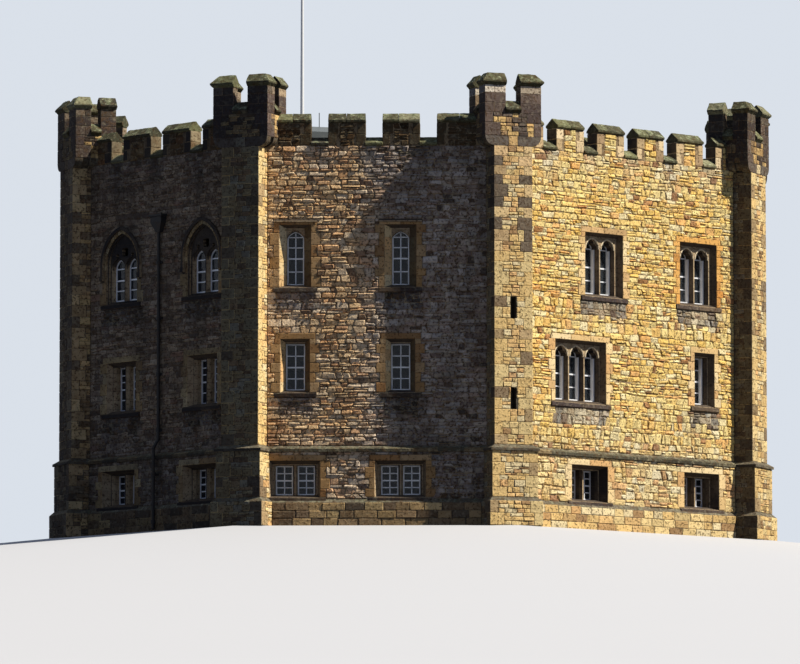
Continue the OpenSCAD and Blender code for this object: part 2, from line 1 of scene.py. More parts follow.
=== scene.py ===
import math
import bpy
import numpy as np
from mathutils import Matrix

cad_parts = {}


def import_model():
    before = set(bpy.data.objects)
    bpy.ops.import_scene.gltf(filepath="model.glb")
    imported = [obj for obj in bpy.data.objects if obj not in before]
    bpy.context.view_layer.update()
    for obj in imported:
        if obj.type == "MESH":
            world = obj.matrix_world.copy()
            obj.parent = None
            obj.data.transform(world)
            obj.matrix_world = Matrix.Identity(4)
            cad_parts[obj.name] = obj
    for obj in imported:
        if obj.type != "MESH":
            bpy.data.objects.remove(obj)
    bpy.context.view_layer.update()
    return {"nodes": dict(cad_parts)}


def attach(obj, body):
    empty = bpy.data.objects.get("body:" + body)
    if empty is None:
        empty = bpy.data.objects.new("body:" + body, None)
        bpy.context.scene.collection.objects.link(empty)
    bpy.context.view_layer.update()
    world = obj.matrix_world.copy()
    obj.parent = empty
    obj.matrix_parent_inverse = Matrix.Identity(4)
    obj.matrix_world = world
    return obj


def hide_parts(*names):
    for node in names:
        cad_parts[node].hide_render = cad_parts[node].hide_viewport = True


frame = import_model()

nodes = frame["nodes"]
print("frame loaded:", len(nodes), "nodes")

# Plan of the keep in metres. Side i starts at corner i and runs at 45 degrees times i.
plan = {
    "lengths": [8.8, 11.5, 4.0, 8.65] * 2,
    "names": ["front", "frontRight", "right", "backRight", "back", "backLeft", "left", "frontLeft"],
    "halfX": 11.52410, "halfY": 9.12410,
    "lowerOut": 0.12, "plinthOut": 0.24, "lowerFoot": 0.93,
    "stringFoot": 2.5, "stringTop": 2.7, "wallTop": 12.74, "deckTop": 11.95,
    "parapetT": 0.45, "merlonTop": 13.51,
    "flankUpper": 0.7306, "flankLower": 0.8216, "flankBase": 0.9127, "flankHead": 1.0824,
}
# Embrasures of the front four sides; the back four repeat them.
crenels = [dict(zip(("count", "pitch", "gap", "shift"), row)) for row in (
    (3, 1.815, 0.585, -0.1), (5, 1.917, 0.64, 0.0), (1, 1.9, 0.64, 0.0), (3, 2.04, 0.62, -0.165))]

# Windows: width of the recess, its foot and height, number and width of lights, form of the head, and wall face.
kinds = {name: dict(zip(("recess", "foot", "high", "lights", "light", "form", "face"), row)) for name, row in {
    "lowTwin": (1.70, 0.98, 1.22, 2, 0.58, "square", -0.12),
    "lowSingle": (0.97, 0.98, 1.22, 1, 0.58, "square", -0.12),
    "flat": (0.98, 4.48, 1.79, 1, 0.64, "square", 0.0),
    "single": (0.97, 4.50, 1.84, 1, 0.58, "square", 0.0),
    "squareTwin": (1.53, 4.17, 1.73, 2, 0.52, "square", 0.0),
    "triple": (2.40, 4.30, 2.10, 3, 0.58, "cusped", 0.0),
    "twin": (1.80, 7.95, 2.15, 2, 0.58, "cusped", 0.0),
    "arched": (1.06, 8.00, 2.10, 1, 0.57, "arched", 0.0),
    "pointed": (1.62, 7.91, 2.30, 2, 0.56, "pointed", 0.0),
}.items()}
windowPlan = [
    [(u, kind) for kind in ("lowTwin", "flat", "arched") for u in (1.67, 5.18)],
    [(3.64, "lowTwin"), (9.02, "lowTwin"), (3.34, "triple"), (9.30, "single"), (4.46, "twin"), (9.02, "twin")],
    [(2.00, "lowSingle"), (2.00, "flat"), (2.00, "arched")],
    [(u, kind) for kind in ("lowTwin", "squareTwin", "pointed") for u in (2.35, 6.51)],
]
arch = {"spring": 9.25, "shift": 0.30, "outer": 1.0, "recess": 0.81, "hoodOuter": 1.025, "hoodInner": 0.92,
        "hoodFoot": 8.90, "stopFoot": 8.74, "stopHalf": 1.06, "hoodRise": 1.30, "gap": 0.008}
door = {"side": 4, "u": 7.0, "half": 0.73, "top": 2.48, "leafV": 0.45, "leafHalf": 0.5, "spring": 1.9, "foot": 0.3}


# Frames and meshes.

def pairs(values):
    # Each value with the next one.
    return list(zip(values[:-1], values[1:]))


def rectangle(left, right, foot, top):
    return [(left, foot), (right, foot), (right, top), (left, top)]


def planCorner(i):
    # The first corner, plus every side before corner i, each turned 45 degrees more than the last.
    point = np.array([plan["lengths"][3] / math.sqrt(2) - plan["halfX"], -plan["halfY"]])
    for k in range(i):
        point = point + plan["lengths"][k] * np.array([math.cos(math.pi * k / 4), math.sin(math.pi * k / 4)])
    return point


def turnedFrame(point, turn):
    # Origin on the ground, then the axes: u to the right along the face, v inwards, w up.
    axes = np.array([[math.cos(turn), math.sin(turn), 0], [-math.sin(turn), math.cos(turn), 0], [0, 0, 1]])
    return np.array([point[0], point[1], 0.0]), axes


def sideFrame(i):
    return turnedFrame(planCorner(i), math.pi * i / 4)


def cornerFrame(i):
    return turnedFrame(planCorner(i), math.pi * (2 * i - 1) / 8)


def faceOf(base, quarter, u, v):
    # The frame of a face of a block: turned a quarter at a time round the vertical, with its origin at u, v.
    c, s = round(math.cos(math.pi * quarter / 2)), round(math.sin(math.pi * quarter / 2))
    turn = np.array([[c, s, 0], [-s, c, 0], [0, 0, 1]])
    return base[0] + np.array([u, v, 0.0]) @ base[1], turn @ base[1]


def world(points, base):
    return base[0] + np.asarray(points, float) @ base[1]


still = (np.zeros(3), np.eye(3))


class Heap:
    # Gathers the stones of one piece, so that they become a single mesh: points, the corner indices of all
    # faces in a row, corners per face, and the colour of each point.
    def __init__(self):
        self.points, self.loops, self.counts, self.tones, self.total = [], [], [], [], 0

    def add(self, points, loops, counts, tones):
        self.points.append(points)
        self.loops.append(loops + self.total)
        self.counts.append(counts)
        self.tones.append(tones)
        self.total += len(points)

    def finish(self, name, material, slot):
        points, tones = (np.concatenate(p).astype(np.float32) for p in (self.points, self.tones))
        loops, counts = (np.concatenate(p).astype(np.int32) for p in (self.loops, self.counts))
        mesh = bpy.data.meshes.new(name)
        mesh.vertices.add(len(points))
        mesh.vertices.foreach_set("co", points.ravel())
        mesh.loops.add(len(loops))
        mesh.loops.foreach_set("vertex_index", loops)
        mesh.polygons.add(len(counts))
        mesh.polygons.foreach_set("loop_start", np.cumsum(counts, dtype=np.int32) - counts)
        mesh.update(calc_edges=True)
        mesh.polygons.foreach_set("use_smooth", np.zeros(len(counts), bool))
        mesh.attributes.new("stoneTone", "FLOAT_COLOR", "POINT").data.foreach_set("color", tones.ravel())
        mesh.materials.append(materials[material])
        piece = bpy.data.objects.new(name, mesh)
        bpy.context.scene.collection.objects.link(piece)
        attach(piece, "root")
        return piece


def repeatFaces(template, count, step):
    # The same faces for every stone, shifted by the number of points in a stone.
    loops = np.concatenate([np.asarray(f) for f in template])
    return (loops[None, :] + step * np.arange(count)[:, None]).ravel(), np.tile([len(f) for f in template], count)


def gridQuads(rows, columns, wrap=False):
    # The faces between rows of points, where each row has the given number; a wrapped row closes on itself.
    i, j = np.meshgrid(np.arange(rows if wrap else rows - 1), np.arange(columns), indexing="ij")
    nextI, nextJ = (i + 1) % rows, (j + 1) % columns
    quads = [i * columns + j, i * columns + nextJ, nextI * columns + nextJ, nextI * columns + j]
    return np.stack(quads, axis=-1).reshape(-1, 4)


def slabFaces():
    # Sixteen points in front and four behind: nine faces in front, four sides of six corners and a back.
    at = lambda i, j: 4 * j + i
    faces = [[at(i, j), at(i + 1, j), at(i + 1, j + 1), at(i, j + 1)] for j in range(3) for i in range(3)]
    faces.append([at(i, 0) for i in (3, 2, 1, 0)] + [16, 17])
    faces.append([at(i, 3) for i in range(4)] + [18, 19])
    faces.append([at(0, j) for j in range(4)] + [19, 16])
    faces.append([at(3, j) for j in (3, 2, 1, 0)] + [17, 18])
    return faces + [[19, 18, 17, 16]]


slabTemplate = slabFaces()
# The points on the rim of a stone: all but the inner four of the front.
slabRim = np.array([k not in (5, 6, 9, 10) for k in range(20)])


# Every stone: the least and greatest share of it that its bevel takes, and how uneven it is.
slabShape = {"least": (0.04, 0.06), "most": 0.32, "uneven": (0.7, 1.3), "ripple": 0.002, "lift": 0.001,
             "shake": 0.6, "mottle": (0.92, 1.12)}


def addSlabs(heap, quads, base, face, look, tones, rng):
    # Stone i fills the quad i of (u, w) corners. Its front is a 4 by 4 grid: the two inner rows stand proud
    # of the wall by the stone's own depth and tilt a little, and the outer ring is nearly level with the wall.
    quads = np.asarray(quads, float)
    n = len(quads)
    if n == 0:
        return
    sizes = [np.linalg.norm(quads[:, k] - quads[:, 0], axis=1) for k in (1, 3)]
    quads = quads + rng.uniform(-1, 1, quads.shape) * look["jitter"]
    insets = [np.clip(look["bevel"] / size, least, slabShape["most"]) * rng.uniform(*slabShape["uneven"], n)
              for size, least in zip(sizes, slabShape["least"])]
    s, t = (np.stack([0 * inset, inset, 1 - inset, 0 * inset + 1], axis=1) for inset in insets)
    s, t = s[:, None, :, None], t[:, :, None, None]
    a, b, c, d = (quads[:, k][:, None, None, :] for k in range(4))
    grid = a * (1 - s) * (1 - t) + b * s * (1 - t) + c * s * t + d * (1 - s) * t
    proud, ripple = rng.uniform(*look["proud"], n), slabShape["ripple"]
    depth = np.full((n, 4, 4), look["edge"]) + rng.uniform(-ripple, ripple, (n, 4, 4))
    tilt = rng.uniform(-1, 1, (2, n, 1, 1)) * look["tilt"]
    slant = tilt[0] * np.array([[-1.0, 1.0]]) + tilt[1] * np.array([[-1.0], [1.0]])
    inner = proud[:, None, None] + slant + rng.uniform(-1, 1, (n, 2, 2)) * look["rough"]
    depth[:, 1:3, 1:3] = np.maximum(inner, look["edge"] + slabShape["lift"])
    grid[:, 1:3, 1:3] += rng.uniform(-1, 1, (n, 2, 2, 2)) * look["jitter"] * slabShape["shake"]
    # The rim is ragged and its corners are rounded: each is pulled towards the middle by its own share.
    ragged = rng.uniform(-1, 1, (n, 4, 4, 2)) * look["ragged"]
    ragged[:, 1:3, 1:3] = 0
    grid += ragged
    for j, i in ((0, 0), (0, 3), (3, 0), (3, 3)):
        grid[:, j, i] += (grid[:, 1 + j // 3, 1 + i // 3] - grid[:, j, i]) * rng.uniform(0, look["round"], (n, 1))
    face = np.broadcast_to(face, (n,))
    front = np.stack([grid[..., 0], face[:, None, None] - depth, grid[..., 1]], axis=-1).reshape(n, 16, 3)
    back = np.stack([quads[..., 0], np.broadcast_to(face[:, None] + look["sunk"], (n, 4)), quads[..., 1]], axis=-1)
    points = np.concatenate([front, back], axis=1).reshape(-1, 3)
    loops, counts = repeatFaces(slabTemplate, n, 20)
    # The rim of each stone is painted darker than its middle: painted shade in the joints, with some dirt.
    rim, middle = (rng.uniform(*spread, (n, 20)) for spread in (look["rim"], slabShape["mottle"]))
    shaded = np.repeat(tones, 20, axis=0)
    shaded[:, :3] *= np.where(slabRim, rim, middle).reshape(-1, 1)
    heap.add(world(points, base), loops, counts, shaded)


def boxFaces():
    # A box with chamfered edges: three points at each corner, one on each face that meets there.
    corners = [(x, y, z) for x in (0, 1) for y in (0, 1) for z in (0, 1)]
    spots = np.array([[(p if k == axis else 0.15 + 0.7 * p) for k, p in enumerate(c)]
                      for c in corners for axis in range(3)])
    faces = []
    for axis in range(3):
        for side in (0, 1):
            ring = [k * 3 + axis for k, c in enumerate(corners) if c[axis] == side]
            faces.append([ring[0], ring[1], ring[3], ring[2]])
    for axis in range(3):
        m, n = [k for k in range(3) if k != axis]
        for p, q in ((0, 0), (0, 1), (1, 0), (1, 1)):
            a, b = [3 * k for k, c in enumerate(corners) if c[m] == p and c[n] == q]
            faces.append([a + m, b + m, b + n, a + n])
    faces += [[3 * k, 3 * k + 1, 3 * k + 2] for k in range(8)]
    fixed = []
    for f in faces:
        p = spots[f]
        outward = np.dot(np.cross(p[1] - p[0], p[2] - p[0]), p.mean(0) - 0.5)
        fixed.append(f if outward > 0 else f[::-1])
    return spots, fixed


boxSpots, boxTemplate = boxFaces()
boxSign = np.where(boxSpots > 0.5, 1.0, 0.0)
boxInset = np.where((boxSpots == 0) | (boxSpots == 1), 0.0, 1.0) * np.where(boxSpots > 0.5, -1.0, 1.0)


# How much the painted shade darkens red, green and blue, and where along a face's turn it starts and how far it runs.
paintedShadeLook = {"darker": np.array([0.58, 0.52, 0.38]), "from": 0.74, "over": 0.15}


def paintedShadeOf(inward):
    # Painted shade: faces turned to the front left, out of the sun, are painted darker and greyer.
    toShadeSide = (inward[0] + inward[1]) * math.sqrt(0.5)
    return 1 - paintedShadeLook["darker"] * min(1.0, max(0.0, (toShadeSide - paintedShadeLook["from"]) / paintedShadeLook["over"]))


def addBoxes(heap, low, high, base, chamfer, rough, tones, rng, weatherAndShade=False):
    # Each point is a corner of its box, moved in by the chamfer along two axes, with a hand-worked shake.
    low, high = np.atleast_2d(low).astype(float), np.atleast_2d(high).astype(float)
    low, high = np.minimum(low, high), np.maximum(low, high)
    cut = np.minimum(chamfer, (high - low).min(axis=1) * 0.3)[:, None, None]
    points = low[:, None, :] * (1 - boxSign) + high[:, None, :] * boxSign + boxInset * cut
    points = points + rng.uniform(-1, 1, points.shape) * rough
    loops, counts = repeatFaces(boxTemplate, len(low), 24)
    shaded = np.repeat(tones, 24, axis=0)
    if weatherAndShade:
        # Each corner has one point for each of its three faces, so that each face takes its own painted shade.
        dark = [paintedShadeOf(base[1][axis] if boxSpots[3 * corner + axis, axis] < 0.5 else -base[1][axis])
                for corner in range(8) for axis in range(3)]
        shaded[:, :3] *= np.tile(dark, (len(low), 1))
    heap.add(world(points.reshape(-1, 3), base), loops, counts, shaded)


def smoothNoise(points, wave, seed):
    # Sum of eight slanted sine waves of about the given wavelength, shared by four.
    rng = np.random.default_rng(seed)
    total = np.zeros(len(points))
    for _ in range(8):
        way = rng.normal(size=3)
        along = points @ (way / np.linalg.norm(way))
        total += np.sin(along * 2 * math.pi / wave * rng.uniform(0.6, 1.7) + rng.uniform(0, 7))
    return total / 4


def addSweep(heap, sections, steps, base, rough, tone, seed):
    # A closed outline carried from section to section in straight steps, with both ends closed and
    # every point shifted by smooth noise, so that the arrises look worn.
    sections = np.asarray(sections, float)
    rows = [sections[0]]
    for (a, b), k in zip(pairs(sections), steps):
        rows += [a + (b - a) * f for f in np.linspace(0, 1, k + 1)[1:]]
    k, p = len(rows), sections.shape[1]
    points = np.concatenate(rows)
    for axis in range(3):
        points[:, axis] += smoothNoise(points.copy(), 0.22, seed + axis) * rough
    quads = gridQuads(k, p)
    caps = [np.arange(p)[::-1], (k - 1) * p + np.arange(p)]
    f = points[quads]
    middles = f.mean(1) - points.mean(0)
    if np.einsum("ij,ij->i", np.cross(f[:, 1] - f[:, 0], f[:, 2] - f[:, 0]), middles).sum() < 0:
        quads, caps = quads[:, ::-1], [c[::-1] for c in caps]
    counts = np.concatenate([np.full(len(quads), 4), [p, p]])
    heap.add(world(points, base), np.concatenate([quads.ravel()] + caps), counts, np.tile(tone, (len(points), 1)))


def splitOutline(outline, largest):
    # Adds points along the long edges of an outline, so that no step is longer than the largest.
    outline = np.asarray(outline, float)
    out = []
    for a, b in zip(outline, np.roll(outline, -1, axis=0)):
        n = max(1, int(math.ceil(np.linalg.norm(b - a) / largest)))
        out += [a + (b - a) * k / n for k in range(n)]
    return np.array(out)


def shrunk(outline):
    # The worn end of a stone: its outline, drawn in towards the middle.
    return outline.mean(0) + (outline - outline.mean(0)) * 0.965


# Shader parts.

def feed(tree, node, values):
    # Sockets are linked to the node's inputs, and plain values are set on them.
    for key, value in values.items():
        if isinstance(value, bpy.types.NodeSocket):
            tree.links.new(value, node.inputs[key])
        else:
            node.inputs[key].default_value = value


def put(tree, kind, values=None, **settings):
    node = tree.nodes.new(kind)
    for key, value in settings.items():
        setattr(node, key, value)
    feed(tree, node, values or {})
    return node


def mixed(tree, factor, a, b):
    return put(tree, "ShaderNodeMix", {0: factor, 6: a, 7: b}, data_type="RGBA").outputs[2]


def maths(tree, operation, a, b=0.0, clamp=False):
    return put(tree, "ShaderNodeMath", {0: a, 1: b}, operation=operation, use_clamp=clamp).outputs[0]


def times(tree, a, b, clamp=False):
    return maths(tree, "MULTIPLY", a, b, clamp)


def mapped(tree, value, fromLow, fromHigh, toLow=0.0, toHigh=1.0):
    values = {"Value": value, "From Min": fromLow, "From Max": fromHigh, "To Min": toLow, "To Max": toHigh}
    return put(tree, "ShaderNodeMapRange", values).outputs[0]


def noise(tree, place, scale, detail=3.0, roughness=0.55):
    values = {"Vector": place, "Scale": scale, "Detail": detail, "Roughness": roughness}
    return put(tree, "ShaderNodeTexNoise", values).outputs["Fac"]


def stretched(tree, place, x, y, z):
    return put(tree, "ShaderNodeMapping", {"Vector": place, "Scale": (x, y, z)}).outputs[0]


def objectSpot(tree):
    return put(tree, "ShaderNodeTexCoord").outputs["Object"]


def facing(tree):
    return put(tree, "ShaderNodeNewGeometry").outputs["Normal"]


def part(tree, vector, axis):
    return put(tree, "ShaderNodeSeparateXYZ", {0: vector}).outputs[axis]


def bumped(tree, height, distance):
    return put(tree, "ShaderNodeBump", {"Height": height, "Distance": distance}).outputs[0]


def newGroup(name, inputs, outputs):
    # An input with a tuple for its value, and the output named Colour, are colours; the rest are numbers.
    group = bpy.data.node_groups.new(name, "ShaderNodeTree")
    kindOf = {True: "NodeSocketColor", False: "NodeSocketFloat"}
    for label, value in inputs.items():
        kind = kindOf[isinstance(value, tuple)]
        group.interface.new_socket(name=label, in_out="INPUT", socket_type=kind).default_value = value
    for label in outputs:
        group.interface.new_socket(name=label, in_out="OUTPUT", socket_type=kindOf[label == "Colour"])
    return group, put(group, "NodeGroupInput").outputs


def weatherAndShadeGroup():
    # Stone out of doors: mottling, pits and grain everywhere, soot in tall streaks, painted shade on the faces turned
    # to the front left, the side out of the sun, and lichen where the stone faces up.
    defaults = {"Colour": (0.5, 0.4, 0.25, 1), "Mottle": 0.3, "Grime": 0.3, "Lichen": 0.2, "Grain": 1.0, "Damp": 0.5}
    group, given = newGroup("stoneWeatherAndShade", defaults, ["Colour", "Roughness", "Height"])
    spot, normal = objectSpot(group), facing(group)
    grain = noise(group, spot, 38.0, 6.0, 0.7)
    patches = noise(group, spot, 6.5, 5.0, 0.62)
    broad = noise(group, spot, 0.8, 4.0, 0.55)
    hollows = noise(group, spot, 13.0, 4.0, 0.65)
    pits = mapped(group, hollows, 0.565, 0.61)
    streaks = noise(group, stretched(group, spot, 1.0, 1.0, 0.22), 1.15, 6.0, 0.62)
    # Painted shade: the more a face turns to the front left, away from the sun, the darker it is painted.
    shadeSide = {0: normal, 1: (-0.7071, -0.7071, 0.0)}
    turned = put(group, "ShaderNodeVectorMath", shadeSide, operation="DOT_PRODUCT").outputs["Value"]
    damp = times(group, mapped(group, turned, 0.74, 0.93), given["Damp"])
    growth = mapped(group, noise(group, spot, 3.4, 9.0, 0.72), 0.48, 0.58)
    lichen = times(group, growth, mapped(group, part(group, normal, 2), 0.10, 0.70))
    lichen = times(group, lichen, given["Lichen"], True)
    lichenTint = mixed(group, mapped(group, noise(group, spot, 11.0, 3.0), 0.42, 0.6),
                       (0.13, 0.145, 0.07, 1), (0.42, 0.43, 0.27, 1))
    pale = times(group, mapped(group, patches, 0.48, 0.36), given["Mottle"])
    # Each layer lies over the ones before it: its mask, then its colour.
    layers = [
        (times(group, mapped(group, patches, 0.52, 0.60), given["Mottle"]), (0.25, 0.14, 0.06, 1)),
        (times(group, pale, 0.55), (0.86, 0.72, 0.44, 1)),
        (mapped(group, broad, 0.45, 0.65, 0.0, 0.06), (0.20, 0.135, 0.075, 1)),
        (mapped(group, grain, 0.42, 0.75, 0.0, 0.12), (0.12, 0.08, 0.05, 1)),
        (times(group, pits, 0.72), (0.09, 0.05, 0.022, 1)),
        (times(group, mapped(group, streaks, 0.42, 0.66), given["Grime"], True), (0.035, 0.027, 0.02, 1)),
        # The painted shade of the faces turned to the front left, near black.
        (times(group, damp, mapped(group, broad, 0.30, 0.70, 0.75, 1.15), True), (0.034, 0.030, 0.029, 1)),
        (lichen, lichenTint),
    ]
    colour = given["Colour"]
    for mask, tint in layers:
        colour = mixed(group, mask, colour, tint)
    height = times(group, grain, given["Grain"])
    for bump, share in ((patches, 2.0), (hollows, 1.2), (pits, -1.2), (lichen, 0.5)):
        height = maths(group, "ADD", height, times(group, bump, share))
    rough = mapped(group, grain, 0.2, 0.8, 0.98, 0.82)
    put(group, "NodeGroupOutput", {"Colour": colour, "Roughness": rough, "Height": height})
    return group


def jointGroup():
    # A thin dark line at every step of height, as wide as a mortar joint.
    group, given = newGroup("bedJoints", {"Step": 0.31, "Width": 0.012}, ["Mask"])
    rows = maths(group, "DIVIDE", part(group, objectSpot(group), 2), given["Step"])
    near = times(group, maths(group, "FRACT", rows), given["Step"])
    put(group, "NodeGroupOutput", {"Mask": maths(group, "LESS_THAN", near, given["Width"])})
    return group


weatherAndShade, bedJoints = weatherAndShadeGroup(), jointGroup()
materials = {}


def addMaterial(name, nodesFor, look):
    # nodesFor builds the nodes and gives back what the shader's inputs take.
    material = materials[name] = bpy.data.materials.new(name)
    material.use_nodes = True
    tree = material.node_tree
    feed(tree, tree.nodes["Principled BSDF"], nodesFor(tree, look))


def stoneNodes(tree, look):
    # The stone's own colour comes from its attribute, or from two colours where the look has them.
    values = {label: look[label.lower()] for label in ("Mottle", "Grime", "Lichen", "Grain", "Damp")}
    if "colour" in look:
        blotches = mapped(tree, noise(tree, objectSpot(tree), 1.7, 4.0), 0.35, 0.65)
        values["Colour"] = mixed(tree, blotches, look["colour"], look["second"])
    else:
        tone = put(tree, "ShaderNodeAttribute", attribute_name="stoneTone").outputs
        values["Colour"] = tone["Color"]
        values["Grime"] = times(tree, tone["Alpha"], look["grime"])
        values["Mottle"] = mapped(tree, tone["Alpha"], 0.0, 1.0, look["mottle"] * 0.35, look["mottle"] * 1.2)
    worn = put(tree, "ShaderNodeGroup", values, node_tree=weatherAndShade)
    colour, height = worn.outputs["Colour"], worn.outputs["Height"]
    if "joint" in look:
        lines = put(tree, "ShaderNodeGroup", {"Step": look["joint"]}, node_tree=bedJoints).outputs[0]
        colour = mixed(tree, times(tree, lines, 0.6), colour, (0.09, 0.07, 0.05, 1))
        height = maths(tree, "SUBTRACT", height, times(tree, lines, 2.0))
    if "shelter" in look:
        # Painted shade in a window opening: the more level the face, soffit or sill, the darker it is painted.
        level = maths(tree, "ABSOLUTE", part(tree, facing(tree), 2))
        colour = mixed(tree, mapped(tree, level, 0.12, 0.40, 0.0, look["shelter"]), colour, (0.035, 0.029, 0.029, 1))
    return {"Base Color": colour, "Roughness": worn.outputs["Roughness"], "Specular IOR Level": 0.06,
            "Normal": bumped(tree, height, look["bump"])}


stoneLooks = {
    "rubbleStone": dict(mottle=0.50, grime=0.62, lichen=0.08, grain=0.18, damp=0.36, bump=0.018),
    "ashlarStone": dict(mottle=0.45, grime=0.70, lichen=0.15, grain=0.3, damp=0.60, bump=0.012),
    "dressedStone": dict(mottle=0.28, grime=0.50, lichen=0.12, grain=0.5, damp=0.50, bump=0.004),
    "quoinStone": dict(mottle=0.30, grime=0.60, lichen=0.15, grain=0.7, damp=1.0, bump=0.008),
    "copingStone": dict(mottle=0.30, grime=0.60, lichen=0.75, grain=1.0, damp=0.50, bump=0.012),
    "limeMortar": dict(colour=(0.42, 0.30, 0.17, 1), second=(0.27, 0.185, 0.10, 1), mottle=0.3, grime=0.4,
                       lichen=0.1, grain=1.0, damp=0.6, bump=0.010),
    "buttressCore": dict(colour=(0.165, 0.142, 0.10, 1), second=(0.115, 0.102, 0.078, 1), mottle=0.35, grime=0.4,
                         lichen=0.15, grain=0.8, damp=0.85, bump=0.008),
    "surroundStone": dict(colour=(0.60, 0.45, 0.27, 1), second=(0.44, 0.315, 0.19, 1), mottle=0.28, grime=0.25,
                          lichen=0.0, grain=0.4, damp=0.95, bump=0.004, joint=0.31, shelter=0.85),
    "stringStone": dict(colour=(0.17, 0.145, 0.10, 1), second=(0.12, 0.105, 0.08, 1), mottle=0.35, grime=0.4,
                        lichen=0.3, grain=0.7, damp=0.55, bump=0.006),
}


def paintNodes(tree, look):
    # Brushed paint: faint brush lines up the piece, small chips, and dirt in large soft patches.
    spot = objectSpot(tree)
    brush = noise(tree, stretched(tree, spot, 60.0, 60.0, 2.5), 1.0, 3.0)
    dirt = noise(tree, spot, look["dirtScale"], 6.0, 0.65)
    chips = mapped(tree, noise(tree, spot, 34.0, 2.0), 0.70, 0.73)
    colour = mixed(tree, mapped(tree, dirt, 0.50, 0.75, 0.0, look["dirt"]), look["colour"], look["dirtColour"])
    return {"Base Color": mixed(tree, times(tree, chips, look["chips"]), colour, look["under"]),
            "Roughness": mapped(tree, dirt, 0.3, 0.7, look["rough"] - 0.08, look["rough"] + 0.15),
            "Specular IOR Level": look["sheen"],
            "Normal": bumped(tree, maths(tree, "SUBTRACT", brush, chips), look["bump"])}


paintLooks = {
    "windowPaint": dict(colour=(0.90, 0.91, 0.92, 1), dirtColour=(0.60, 0.57, 0.50, 1), dirt=0.15, dirtScale=4.0,
                        chips=0.06, under=(0.40, 0.33, 0.24, 1), rough=0.30, bump=0.0008, sheen=1.0),
    "polePaint": dict(colour=(0.82, 0.82, 0.81, 1), dirtColour=(0.62, 0.62, 0.58, 1), dirt=0.3, dirtScale=2.0,
                      chips=0.2, under=(0.45, 0.42, 0.36, 1), rough=0.32, bump=0.0008, sheen=0.5),
    "pipeIron": dict(colour=(0.018, 0.018, 0.020, 1), dirtColour=(0.07, 0.05, 0.035, 1), dirt=0.6, dirtScale=3.0,
                     chips=0.7, under=(0.16, 0.06, 0.02, 1), rough=0.62, bump=0.0015, sheen=0.15),
    "hatchPaint": dict(colour=(0.085, 0.095, 0.095, 1), dirtColour=(0.15, 0.16, 0.13, 1), dirt=0.6, dirtScale=2.0,
                       chips=0.4, under=(0.20, 0.17, 0.14, 1), rough=0.5, bump=0.001, sheen=0.5),
}


def timberNodes(tree, look):
    # Boards of one width: each has its own shade, with grain lines along it and a dark gap between.
    spot = objectSpot(tree)
    cell = maths(tree, "DIVIDE", part(tree, spot, 0), look["board"])
    index = maths(tree, "FLOOR", cell)
    shade = put(tree, "ShaderNodeTexWhiteNoise", {"W": index}, noise_dimensions="1D").outputs["Value"]
    grain = noise(tree, stretched(tree, spot, 18.0, 1.2, 18.0), 2.0, 6.0, 0.6)
    depth = maths(tree, "ADD", times(tree, shade, 0.5), mapped(tree, grain, 0.3, 0.7, 0.0, 0.5))
    gap = maths(tree, "LESS_THAN", maths(tree, "FRACT", cell), 0.04)
    colour = mixed(tree, depth, look["light"], look["dark"])
    return {"Base Color": mixed(tree, gap, colour, (0.02, 0.014, 0.01, 1)),
            "Roughness": mapped(tree, grain, 0.3, 0.7, 0.45, 0.65),
            "Normal": bumped(tree, maths(tree, "SUBTRACT", grain, times(tree, gap, 3.0)), 0.002)}


timberLooks = {
    "floorTimber": dict(light=(0.30, 0.18, 0.09, 1), dark=(0.16, 0.09, 0.045, 1), board=0.18),
    "doorTimber": dict(light=(0.085, 0.05, 0.028, 1), dark=(0.04, 0.024, 0.014, 1), board=10.0),
}


def leadNodes(tree, look):
    # Dull grey sheet with pale bloom, darker runs and shallow dents.
    spot = objectSpot(tree)
    bloom = noise(tree, spot, 1.6, 7.0, 0.7)
    runs = noise(tree, stretched(tree, spot, 6.0, 0.6, 1.0), 1.0, 5.0)
    colour = mixed(tree, mapped(tree, bloom, 0.35, 0.68), look["dull"], look["bloom"])
    return {"Base Color": mixed(tree, mapped(tree, runs, 0.52, 0.72, 0.0, 0.55), colour, look["runs"]),
            "Roughness": mapped(tree, bloom, 0.3, 0.7, 0.70, 0.88), "Metallic": 0.12, "Specular IOR Level": 0.15,
            "Normal": bumped(tree, maths(tree, "ADD", bloom, runs), 0.006)}


def glassNodes(tree, look):
    # Clear old panes: thin, slightly wavy, and darker where dust has settled.
    spot = objectSpot(tree)
    dust = noise(tree, spot, 9.0, 5.0)
    return {"Base Color": mixed(tree, mapped(tree, dust, 0.4, 0.7), look["clear"], look["dust"]),
            "Roughness": mapped(tree, dust, 0.4, 0.75, 0.02, 0.14), "Alpha": 0.62, "Specular IOR Level": 0.3,
            "IOR": 1.5, "Normal": bumped(tree, noise(tree, spot, 3.0, 2.0), 0.004)}


sheetLooks = {"roofLead": dict(dull=(0.165, 0.175, 0.185, 1), bloom=(0.30, 0.31, 0.315, 1),
                               runs=(0.10, 0.10, 0.095, 1))}
glassLooks = {"windowGlass": dict(clear=(0.030, 0.038, 0.048, 1), dust=(0.055, 0.060, 0.062, 1))}
for nodesFor, looks in ((stoneNodes, stoneLooks), (paintNodes, paintLooks), (timberNodes, timberLooks),
                        (leadNodes, sheetLooks), (glassNodes, glassLooks)):
    for name, look in looks.items():
        addMaterial(name, nodesFor, look)

